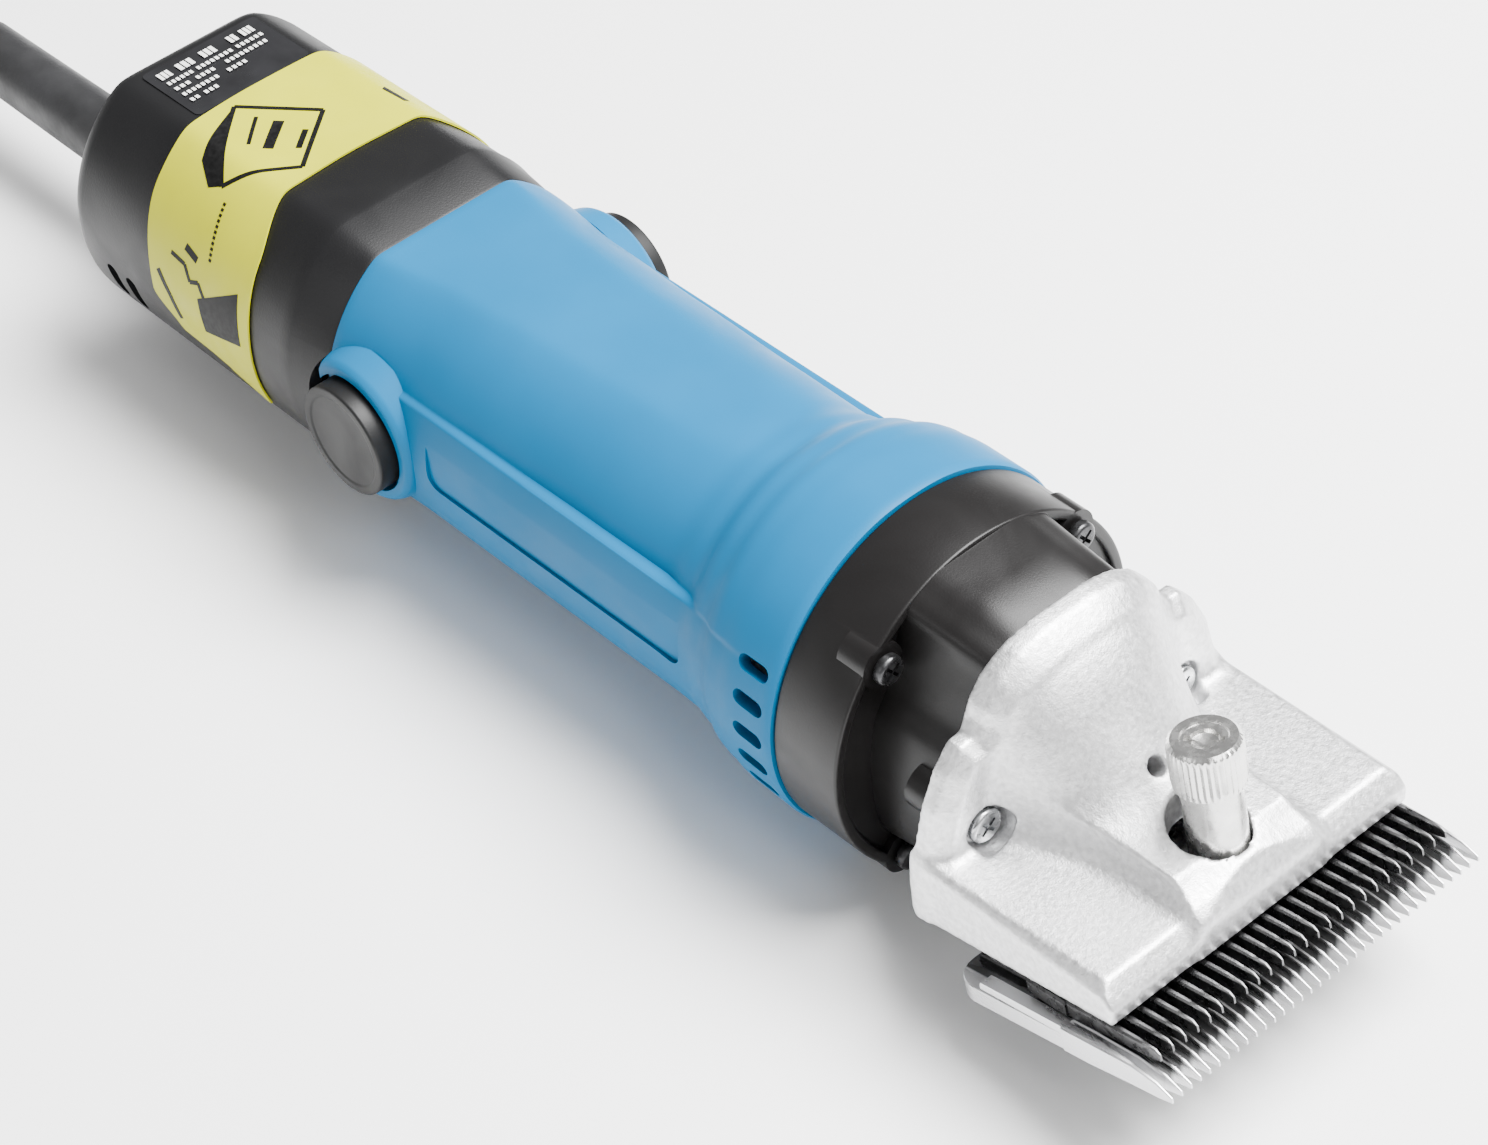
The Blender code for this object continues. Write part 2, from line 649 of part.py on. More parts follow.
def make_gearbox(tool):
    plastic = FINISH["black_plastic"]
    profile = [
        (203.0, 27.0),
        (196.9, 27.0),
        (196.9, RING_RADIUS - 0.4),
        (197.3, RING_RADIUS),
        (212.0, RING_RADIUS),
        (RING_FRONT, RING_RADIUS - 0.5),
    ]
    housing = turned("gearbox_housing", profile, tool, plastic, SIDES)
    rings = []
    for x, shrink in ((211.5, 1.0), (RING_FRONT, 1.0), (NOSE_FRONT, 0.945)):
        rings.append([(x, y, z) for y, z in nose_outline(0.0, shrink)])
    unite(housing, loft("nose_shell", rings, tool, plastic))
    hollow = []
    for x, shrink in ((209.6, 1.0), (233.0, 0.94)):
        hollow.append([(x, y, z) for y, z in nose_outline(3.4, shrink)])
    cut(housing, loft("nose_hollow", hollow, tool, FINISH["cutter"]))
    cut(housing, drill("crank_front_bore", 200, 212, 7.7, tool, (0, -CENTRE_DISTANCE), 20))
    for i, place in enumerate(SCREW_PLACES):
        cut(housing, drill(f"flange_hole_{i}", 190, 214, 1.9, tool, place, 10))
    for i, place in enumerate(SCREW_PLACES):
        profile = [(215.1, 0.6), (215.1, 2.3), (214.3, 2.9), (212.8, 2.9), (212.8, 1.55), (191.0, 1.55), (191.0, 0.6)]
        turned(f"flange_screw_{i + 1}", profile, tool, FINISH["steel"], 10, place=(0, *place))
    for side, y in (("left", 25.5), ("right", -25.5)):
        lug = drill(f"head_lug_{side}", 222.0, NOSE_FRONT, 4.6, tool, (y * 0.92, 1.5), 14)
        unite(housing, lug)
        cut(housing, drill(f"head_thread_{side}", 223.5, 240, 1.9, tool, (y * 0.92, 1.5), 10))


# ---------------------------------------------------------------- cast head


def head_outline():
    """Half of the flange's outline, from the hood to the chin, mirrored."""
    half = [(6.0, 32.3), (12.0, 30.6), (17.5, 27.8), (21.8, 24.0), (23.6, 20.6), (27.6, 21.6)]
    half += [(30.6, 17.6), (33.6, 10.0), (35.0, 1.5), (35.2, -7.0), (33.6, -16.0), (26.0, -22.0)]
    half += [(15.0, -27.5), (5.0, -30.0)]
    return half + [(-y, z) for y, z in reversed(half)]


def hood_section(x, half_width, top, base=-6.0, count=12):
    """An arch across the axis."""
    points = [(x, half_width, base)]
    for i in range(count + 1):
        a = math.pi * i / count
        points.append((x, half_width * math.cos(a), base + 4 + (top - base - 4) * math.sin(a) ** 0.8))
    points.append((x, -half_width, base))
    return points


def make_head(tool, blade, tension):
    alloy = FINISH["cast_alloy"]
    head = prism("head_casting", head_outline(), HEAD_REAR, 237.4, "X", tool, alloy)
    arches = [
        (231.6, 22.0, 32.2),
        (236.0, 21.0, 30.6),
        (241.0, 19.6, 26.6),
        (246.0, 18.2, 20.0),
        (251.0, 17.0, 12.6),
        (256.0, 16.4, 8.0),
        (262.0, 16.0, 6.0),
    ]
    unite(head, loft("hood", [hood_section(*arch) for arch in arches], tool, alloy))
    deck_profile = [(234, -0.9), (277.6, 0.2), (278.4, -0.9), (277.5, -7.2), (236.7, -14.6), (234, -14.6)]
    deck = prism("deck", deck_profile, -36, 36, "Y", tool, alloy)
    edge = deck.modifiers.new("edges", "BEVEL")
    edge.width = 1.0 * MM
    edge.segments = 1
    unite(head, deck)
    apron_profile = [(240, 5.6), (268, 5.4), (271, 4.6), (278.2, -0.8), (277.0, -6.0), (240, -6)]
    unite(head, prism("apron", apron_profile, -16, 16, "Y", tool, alloy))
    for side, low, high in (("left", 16.5, 30), ("right", -30, -16.5)):
        unite(head, box(f"comb_pad_{side}", (1.0, low, COMB_THICKNESS + GAP), (12.5, high, 12), blade, alloy))
        y = (low + high) / 2
        bore = box(f"comb_thread_{side}", (4.9, y - 1.9, 0), (8.7, y + 1.9, 10.5), blade, FINISH["cutter"])
        cut(head, bore)
    cavity = [(229, -17), (229, 19), (236, 18), (245, 7), (254, 1.8), (272.5, 1.2), (274.5, -12), (262, -24), (229, -24)]
    cut(head, prism("head_cavity", cavity, -14.8, 14.8, "Y", tool, FINISH["cutter"]))
    post_bore = [(8.0, 3.4), (37.0, 3.4)]
    upright = {"place": (2.3, 0, 0), "turn": (0, -math.pi / 2, 0)}
    cut(head, turned("post_bore", post_bore, blade, FINISH["cutter"], 16, **upright))
    hole = {"turn": (0, -math.pi / 2, 0)}
    cut(head, turned("knob_thread", [(-8, 5.65), (9, 5.65)], tension, FINISH["cutter"], 20, **hole))
    cut(head, turned("knob_counterbore", [(-0.9, 6.8), (9, 6.8)], tension, FINISH["cutter"], 24, **hole))
    oil = {"place": (252.5, 0, 9.5), "turn": (0, -math.radians(60), 0)}
    cut(head, turned("oil_hole", [(-14, 1.7), (6, 1.7)], tool, FINISH["cutter"], 12, **oil))
    for side, y in (("left", 23.5), ("right", -23.5)):
        cut(head, drill(f"head_hole_{side}", 228, 242, 1.9, tool, (y, 1.5), 10))
        cut(head, drill(f"head_seat_{side}", 235.2, 248, 3.9, tool, (y, 1.5), 16))
        profile = [(237.6, 0.6), (237.6, 2.6), (236.9, 3.4), (235.5, 3.4), (235.5, 1.55), (224.5, 1.55), (224.5, 0.6)]
        turned(f"head_screw_{side}", profile, tool, FINISH["steel"], 12, place=(0, y, 1.5))
    return head


def make_pivot_post(blade):
    """The post that hangs from the casting's roof and carries the rocking fork."""
    profile = [(7.6, 0.8), (7.6, 4.8), (8.7, 4.8), (8.7, 3.1), (36.0, 3.1), (36.0, 0.8)]
    where = {"place": (2.3, 0, 0), "turn": (0, -math.pi / 2, 0)}
    turned("pivot_post", profile, blade, FINISH["steel"], 16, **where)


# ---------------------------------------------------------------- fork, cutter and comb


def make_fork(blade):
    pivot = axis_empty("fork_axis", (2.3, 0, 0), parent=blade)
    steel = FINISH["steel"]
    half = [(30.0, 11.6), (17.5, 12.2), (15.0, 7.0), (-2.0, 6.6), (-14.0, 8.8), (-26.5, 8.8), (-26.5, 5.7)]
    half += [(-17.0, 5.7)]
    outline = half + [(x, -y) for x, y in reversed(half)]
    outline = [(x - 2.3, y) for x, y in outline]
    fork = prism("rocker_fork", outline, 9.0, 14.0, "Z", pivot, steel)
    cut(fork, turned("fork_bore", [(5, 3.4), (20, 3.4)], pivot, FINISH["cutter"], 16, turn=(0, -math.pi / 2, 0)))
    for side, low in (("left", 5.7), ("right", -8.8)):
        jaw = box(f"fork_jaw_{side}", (-28.8, low, 8.0), (-19.9, low + 3.1, 17.0), pivot, steel)
        unite(fork, jaw)
        y = 9.0 if side == "left" else -9.0
        where = {"place": (19.7, y, 0), "turn": (0, -math.pi / 2, 0)}
        unite(fork, turned(f"fork_prong_{side}", [(5.8, 1.5), (9.5, 1.5)], pivot, steel, 10, **where))
    return fork


def tooth_columns(count, width, root_share):
    """The two side edges of each tooth at its root, from one side of the blade to the other."""
    pitch = width / count
    first = -width / 2
    return [
        (first + pitch * (k + 0.5) - pitch * root_share / 2, first + pitch * (k + 0.5) + pitch * root_share / 2)
        for k in range(count)
    ]


def blade_mesh(name, columns, stations, half_width, tip_share, frame, finish):
    """A flat blade with tapered teeth. stations are (x, bottom, top) at the rear, the root and the tip."""
    rear, root, tip = stations
    bm = bmesh.new()
    edges = [y for pair in columns for y in pair]
    edges[0], edges[-1] = -half_width, half_width

    def corner(station, y, top):
        return bm.verts.new((station[0], y, station[2] if top else station[1]))

    grid = {}
    for level in (0, 1):
        grid["rear", level] = [corner(rear, y, level) for y in edges]
        grid["root", level] = [corner(root, y, level) for y in edges]
    for level in (0, 1):
        back, front = grid["rear", level], grid["root", level]
        for i in range(len(edges) - 1):
            bm.faces.new((back[i], back[i + 1], front[i + 1], front[i]))
    for i in range(len(edges) - 1):
        bm.faces.new((grid["rear", 0][i], grid["rear", 1][i], grid["rear", 1][i + 1], grid["rear", 0][i + 1]))
    for i in (0, len(edges) - 1):
        bm.faces.new((grid["rear", 0][i], grid["root", 0][i], grid["root", 1][i], grid["rear", 1][i]))
    for k in range(len(columns)):
        a, b = 2 * k, 2 * k + 1
        middle = (edges[a] + edges[b]) / 2
        half = (columns[k][1] - columns[k][0]) / 2 * tip_share
        ends = {}
        for level in (0, 1):
            ends[level] = [corner(tip, middle - half, level), corner(tip, middle + half, level)]
            roots = grid["root", level]
            bm.faces.new((roots[a], roots[b], ends[level][1], ends[level][0]))
        for i, end in ((a, 0), (b, 1)):
            bm.faces.new((grid["root", 0][i], grid["root", 1][i], ends[1][end], ends[0][end]))
        bm.faces.new((ends[0][0], ends[0][1], ends[1][1], ends[1][0]))
        if k:
            i = a - 1
            bm.faces.new((grid["root", 0][i], grid["root", 1][i], grid["root", 1][a], grid["root", 0][a]))
    return finish_mesh(name, bm, frame, finish)


def make_blades(blade):
    steel = FINISH["blade_steel"]
    stations = [(0.0, 0.0, COMB_THICKNESS), (27.0, 0.0, COMB_THICKNESS), (COMB_LENGTH, 0.0, 1.5)]
    columns = tooth_columns(COMB_TEETH, COMB_WIDTH, 0.62)
    comb = blade_mesh("comb_blade", columns, stations, COMB_WIDTH / 2, 0.40, blade, steel)
    for side, y in (("left", 23.25), ("right", -23.25)):
        upright = {"place": (6.8, y, 0), "turn": (0, -math.pi / 2, 0)}
        cut(comb, turned(f"comb_hole_{side}", [(-1, 1.9), (7, 1.9)], blade, FINISH["cutter"], 12, **upright))
        cut(comb, turned(f"comb_seat_{side}", [(-1, 3.6), (2.2, 3.6)], blade, FINISH["cutter"], 14, **upright))
        profile = [(0.3, 0.8), (0.3, 3.2), (1.9, 3.2), (1.9, 1.55), (9.8, 1.55), (9.8, 0.8)]
        turned(f"comb_screw_{side}", profile, blade, FINISH["steel"], 12, **upright)
    stations = [
        (CUTTER_REAR, CUTTER_BASE, CUTTER_TOP),
        (30.0, CUTTER_BASE, CUTTER_TOP),
        (CUTTER_TIP, CUTTER_BASE, CUTTER_TOP - 0.9),
    ]
    columns = tooth_columns(CUTTER_TEETH, CUTTER_WIDTH, 0.60)
    cutter = blade_mesh("cutter_blade", columns, stations, CUTTER_WIDTH / 2, 0.55, blade, steel)
    for side, y in (("left", 9.0), ("right", -9.0)):
        upright = {"place": (22.0, y, 0), "turn": (0, -math.pi / 2, 0)}
        cut(cutter, turned(f"prong_hole_{side}", [(4, 1.9), (9, 1.9)], blade, FINISH["cutter"], 12, **upright))


# ---------------------------------------------------------------- tension


def make_tension(tension):
    upright = {"turn": (0, -math.pi / 2, 0)}
    outline = [
        (-4.0, 4.3),
        (-4.0, STEM_RADIUS),
        (10.0, STEM_RADIUS),
        (10.6, KNOB_RADIUS),
        (18.8, KNOB_RADIUS),
        (19.4, KNOB_RADIUS - 0.6),
        (19.4, 1.6),
        (17.6, 1.6),
        (17.6, 0.6),
        (7.5, 0.6),
        (7.5, 4.3),
    ]
    turned("tension_knob", outline, tension, FINISH["nickel"], 24, closed=True, **upright)
    tube("spring_seat", 5.9, 7.2, 4.0, 2.3, tension, FINISH["steel"], 16, **upright)
    coil_spring("tension_spring", 5, 3.0, 0.4, 11.8, tension, FINISH["steel"], place=(0, 0, -6.1))
    profile = [(-7.8, 0.6), (-7.8, 3.0), (-6.5, 3.4), (-6.5, 1.8), (3.4, 1.8), (3.4, 0.6)]
    turned("pressure_pin", profile, tension, FINISH["steel"], 14, **upright)


# ---------------------------------------------------------------- mains lead


def make_lead(tool):
    rubber = FINISH["rubber"]
    radius = CORD_DIAMETER / 2
    lying = FLOOR + radius
    cx, cy = COIL_CENTRE
    drop = lying - CORD_HEIGHT
    aside = cy - COIL_MEAN_RADIUS - CORD_DIAMETER
    start = GUARD_END - GAP
    # Straight out of the guard, then down and aside in one long bend to the coil's outermost turn.
    route = [(start, 0, 0), (start - 10, 0, 0), (start - 20, 0, 0)]
    route += [(start - 36, 0.12, 0.12), (start - 51, 0.5, 0.5), (start - 66, 0.88, 0.88)]
    route += [(cx + 27.5, 1, 1)]
    points = [Vector((x, aside * side, CORD_HEIGHT + drop * down)) for x, side, down in route]
    cord_tube("mains_cord", smooth_route(points, 7.0), tool, rubber)
    inner = COIL_MEAN_RADIUS - COIL_COLUMNS * radius
    outer = COIL_MEAN_RADIUS + COIL_COLUMNS * radius
    height = COIL_LAYERS * CORD_DIAMETER
    profile = [(0, outer), (height, outer), (height, inner), (0, inner)]
    where = {"place": (cx, cy, FLOOR), "turn": (0, -math.pi / 2, 0)}
    turned("cord_coil", profile, tool, rubber, 32, closed=True, **where)
    make_tail_and_plug(axis_empty("coil_top", (cx, cy, FLOOR + height), parent=tool))


def make_tail_and_plug(coil_top):
    """The end of the lead leaves the inner turn, lies on the coil in a wide bend and ends in its plug."""
    radius = CORD_DIAMETER / 2
    bend = 30.0
    widest = COIL_MEAN_RADIUS
    lift = radius + GAP
    half = PLUG_THICKNESS / 2
    middle = half + GAP
    route = []
    for degrees, out in ((-90, 35), (-112.5, 35.5), (-135, 37), (-157.5, 39.5), (-180, widest)):
        a = math.radians(degrees)
        route.append(Vector((out * math.cos(a), out * math.sin(a), lift)))
    for degrees, rise in ((157.5, 0), (135, 0.2), (112.5, 0.7), (90, 1)):
        a = math.radians(degrees)
        z = lift + rise * (middle - lift)
        route.append(Vector((bend - widest + bend * math.cos(a), bend * math.sin(a), z)))
    route.append(Vector((PLUG_REAR - GAP, bend, middle)))
    cord_tube("cord_tail", smooth_route(route, 7.0), coil_top, FINISH["rubber"])
    stations = [(0, 4.6, 4.6), (16, 5.8, 5.8), (18, 9.0, 6.2), (24, 14.6, 6.9), (32, 17, half)]
    stations += [(46, 17, half), (51, 13.6, half - 0.5)]
    rings = []
    for x, wide, thick in stations:
        ring = []
        for i in range(16):
            a = 2 * math.pi * i / 16
            ring.append((x, wide * math.cos(a), thick * math.copysign(abs(math.sin(a)) ** 0.7, math.sin(a))))
        rings.append(ring)
    plug = loft("mains_plug", rings, coil_top, FINISH["rubber"], place=(PLUG_REAR, bend, middle))
    for side, y in (("left", PIN_SPACING / 2), ("right", -PIN_SPACING / 2)):
        pin = turned(
            f"plug_pin_{side}",
            [(48, 2.0), (68, 2.0), (69.5, 1.2)],
            coil_top,
            FINISH["nickel"],
            12,
            place=(PLUG_REAR, bend + y, middle),
        )
        unite(plug, pin)


def make_scene():
    clear_scene()
    make_finishes()
    tool = axis_empty("tool_frame", (-TOOL_CENTRE, 0, COLLAR_RADIUS))
    blade = axis_empty("blade_frame", (BLADE_ORIGIN[0], 0, BLADE_ORIGIN[1]), -BLADE_TILT, tool)
    tension = axis_empty("tension_frame", (TENSION_BASE[0], 0, TENSION_BASE[1]), -TENSION_TILT, tool)
    make_rear_cap(tool)
    make_labels(tool)
    make_switch(tool)
    make_lead_entry(tool)
    make_handle(tool)
    make_brush_gear(tool)
    make_stator(tool)
    make_rotor(tool)
    make_bearings(tool)
    make_crank(tool)
    make_gearbox(tool)
    make_head(tool, blade, tension)
    make_pivot_post(blade)
    make_fork(blade)
    make_blades(blade)
    make_tension(tension)
    make_lead(tool)


make_scene()
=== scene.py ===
"""Sheep shears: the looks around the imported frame.

Lengths are in millimetres in the tool's own frame, X forward along the motor axis, unless a name says otherwise.
"""

import functools
import math

import bmesh
import bpy
import numpy as np
from mathutils import Matrix, Vector


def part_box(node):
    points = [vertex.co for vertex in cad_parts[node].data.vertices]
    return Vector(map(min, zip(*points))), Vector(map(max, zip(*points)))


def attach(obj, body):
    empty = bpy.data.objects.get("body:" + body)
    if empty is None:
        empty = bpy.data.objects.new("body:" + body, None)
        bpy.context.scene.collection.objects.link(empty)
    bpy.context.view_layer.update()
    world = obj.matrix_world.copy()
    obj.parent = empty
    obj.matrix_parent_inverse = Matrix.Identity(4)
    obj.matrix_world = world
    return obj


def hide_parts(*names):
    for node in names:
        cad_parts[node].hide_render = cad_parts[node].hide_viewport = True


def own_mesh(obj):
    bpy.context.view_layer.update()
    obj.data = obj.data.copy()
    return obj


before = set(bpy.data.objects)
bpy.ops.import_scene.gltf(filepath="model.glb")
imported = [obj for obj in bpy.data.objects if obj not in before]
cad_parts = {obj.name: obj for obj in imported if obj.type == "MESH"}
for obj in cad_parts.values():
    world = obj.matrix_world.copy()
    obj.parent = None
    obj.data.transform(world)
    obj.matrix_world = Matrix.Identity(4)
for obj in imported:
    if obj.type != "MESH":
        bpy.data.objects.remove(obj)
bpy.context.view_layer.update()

MM = 0.001
REAR_FACE = -16.0
COLLAR_RADIUS = 36.0
ORIGIN = Vector(
    (
        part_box("rear_cap")[0].x - REAR_FACE * MM,
        0.0,
        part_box("handle_housing")[0].z + COLLAR_RADIUS * MM,
    )
)
TOOL = Matrix.Translation(ORIGIN) @ Matrix.Scale(MM, 4)
BLADE_TILT = math.radians(12.2)
BLADE = TOOL @ Matrix.Translation((243.1, 0, -23)) @ Matrix.Rotation(-BLADE_TILT, 4, "Y")
TENSION_TILT = math.radians(9)
TENSION = TOOL @ Matrix.Translation((267.3, 0, 5.3)) @ Matrix.Rotation(-TENSION_TILT, 4, "Y")
FLOOR = -COLLAR_RADIUS


# ---------------------------------------------------------------- camera, light and floor


def make_camera():
    camera = bpy.data.objects.new("camera", bpy.data.cameras.new("camera"))
    bpy.context.collection.objects.link(camera)
    aim = TOOL @ Vector((153.3, -3.4, -7.5))
    azimuth, elevation, distance, roll = -0.670, 0.739, 0.7606, -0.096  # radians and metres
    flat = Vector((math.cos(azimuth), math.sin(azimuth), 0.0))
    camera.location = aim + distance * (math.cos(elevation) * flat + Vector((0, 0, math.sin(elevation))))
    look = (aim - camera.location).to_track_quat("-Z", "Y").to_matrix().to_4x4()
    turn = look @ Matrix.Rotation(roll, 4, "Z")
    camera.matrix_world = Matrix.Translation(camera.location) @ turn
    camera.data.lens = 101.08
    camera.data.sensor_width = 36.0
    camera.data.clip_start = 0.01
    bpy.context.scene.camera = camera


def area_light(name, place, aim, size, power, colour=(1.0, 1.0, 1.0)):
    data = bpy.data.lights.new(name, "AREA")
    data.shape = "RECTANGLE"
    data.size, data.size_y = size
    data.energy = power
    data.color = colour
    light = bpy.data.objects.new(name, data)
    light.location = place
    light.rotation_euler = (Vector(aim) - Vector(place)).to_track_quat("-Z", "Y").to_euler()
    bpy.context.collection.objects.link(light)


def make_studio():
    world = bpy.data.worlds.new("studio")
    bpy.context.scene.world = world
    world.use_nodes = True
    world.node_tree.nodes["Background"].inputs["Color"].default_value = (1.0, 1.0, 1.0, 1.0)
    world.node_tree.nodes["Background"].inputs["Strength"].default_value = 0.42
    area_light("key", (0.32, 0.42, 1.05), (0.02, 0, 0), (0.75, 0.75), 76.0)
    area_light("front", (0.75, -0.1, 0.7), (0.1, 0, 0.02), (0.4, 0.4), 4.0)
    area_light("side", (-0.1, -1.0, 0.6), (0.0, 0, 0.03), (0.6, 0.2), 2.0)
    bm = bmesh.new()
    bmesh.ops.create_grid(bm, x_segments=1, y_segments=1, size=3.0)
    mesh = bpy.data.meshes.new("floor")
    bm.to_mesh(mesh)
    floor = bpy.data.objects.new("floor", mesh)
    floor.location.z = -0.0003
    bpy.context.collection.objects.link(floor)
    paint = bpy.data.materials.new("floor_paper")
    paint.use_nodes = True
    surface = paint.node_tree.nodes["Principled BSDF"].inputs
    surface["Base Color"].default_value = (0.98, 0.98, 0.98, 1.0)
    surface["Roughness"].default_value = 0.7
    floor.data.materials.append(paint)


# ---------------------------------------------------------------- materials


class Surface:
    """Builds one procedural material: layers of noise drive its colour, roughness and bump."""

    def __init__(self, name, colour, roughness, metallic=0.0, **sockets):
        self.material = bpy.data.materials.new(name)
        self.material.use_nodes = True
        self.tree = self.material.node_tree
        self.shader = self.tree.nodes["Principled BSDF"]
        self.shader.inputs["Base Color"].default_value = (*colour, 1.0)
        self.shader.inputs["Roughness"].default_value = roughness
        self.shader.inputs["Metallic"].default_value = metallic
        for socket, value in sockets.items():
            self.shader.inputs[socket.replace("_", " ")].default_value = value
        self.colour, self.roughness = colour, roughness
        self.height = None

    def node(self, kind, **values):
        made = self.tree.nodes.new(kind)
        for name, value in values.items():
            setattr(made, name, value)
        return made

    def noise(self, scale, detail=4.0, stretch=(1.0, 1.0, 1.0), turn_y=0.0, distortion=0.0):
        place = self.node("ShaderNodeTexCoord")
        mapping = self.node("ShaderNodeMapping")
        mapping.inputs["Scale"].default_value = stretch
        mapping.inputs["Rotation"].default_value = (0.0, turn_y, 0.0)
        texture = self.node("ShaderNodeTexNoise")
        texture.inputs["Scale"].default_value = scale
        texture.inputs["Detail"].default_value = detail
        texture.inputs["Distortion"].default_value = distortion
        self.tree.links.new(place.outputs["Object"], mapping.inputs["Vector"])
        self.tree.links.new(mapping.outputs["Vector"], texture.inputs["Vector"])
        return texture.outputs["Fac"]

    def ranged(self, value, low, high, start=0.35, end=0.65):
        made = self.node("ShaderNodeMapRange")
        made.inputs["From Min"].default_value = start
        made.inputs["From Max"].default_value = end
        made.inputs["To Min"].default_value = low
        made.inputs["To Max"].default_value = high
        self.tree.links.new(value, made.inputs["Value"])
        return made.outputs["Result"]

    def tint(self, value, darker=0.85, lighter=1.1, other=None):
        """Colour varies between a darker and a lighter tone, or towards another colour."""
        mix = self.node("ShaderNodeMix", data_type="RGBA")
        mix.inputs["A"].default_value = (*[darker * c for c in self.colour], 1.0)
        mix.inputs["B"].default_value = (*(other or [min(1.0, lighter * c) for c in self.colour]), 1.0)
        self.tree.links.new(self.ranged(value, 0.0, 1.0), mix.inputs["Factor"])
        self.tree.links.new(mix.outputs["Result"], self.shader.inputs["Base Color"])
        return self

    def rough(self, value, spread=0.08):
        result = self.ranged(value, self.roughness - spread, self.roughness + spread)
        self.tree.links.new(result, self.shader.inputs["Roughness"])
        return self

    def oily_and_shaded_middle(self):
        """Dark in the middle, partly oil where the blades run on each other and partly painted shade under the cutter,
        polished by use at the tips and along the side rails.
        """
        place = self.node("ShaderNodeTexCoord")
        split = self.node("ShaderNodeSeparateXYZ")
        self.tree.links.new(place.outputs["Object"], split.inputs["Vector"])
        width = self.node("ShaderNodeMath", operation="ABSOLUTE")
        self.tree.links.new(split.outputs["Y"], width.inputs[0])
        tips = self.ranged(split.outputs["X"], 0.0, 1.0, 0.1485, 0.1518)
        rails = self.ranged(width.outputs["Value"], 0.0, 1.0, 0.0345, 0.0356)
        either = self.node("ShaderNodeMath", operation="MAXIMUM")
        self.tree.links.new(tips, either.inputs[0])
        self.tree.links.new(rails, either.inputs[1])
        return self.tint(either.outputs["Value"], 0.17, 1.12)

    def bump(self, value, height_mm, strength=1.0):
        made = self.node("ShaderNodeBump")
        made.inputs["Strength"].default_value = strength
        made.inputs["Distance"].default_value = height_mm * MM
        self.tree.links.new(value, made.inputs["Height"])
        if self.height:
            self.tree.links.new(self.height, made.inputs["Normal"])
        self.height = made.outputs["Normal"]
        self.tree.links.new(self.height, self.shader.inputs["Normal"])
        return self


def moulded_plastic(name, colour, roughness, grain=0.02, shine=0.35):
    """Moulded plastic with a fine spark-eroded grain and faint handling marks."""
    made = Surface(name, colour, roughness, IOR=1.42)
    made.shader.inputs["Specular IOR Level"].default_value = shine
    made.tint(made.noise(28, 3), 0.93, 1.05)
    made.rough(made.noise(60, 5, distortion=0.6), 0.06)
    made.bump(made.noise(2600, 2), grain)
    return made.bump(made.noise(22, 2), 0.08, 0.4).material


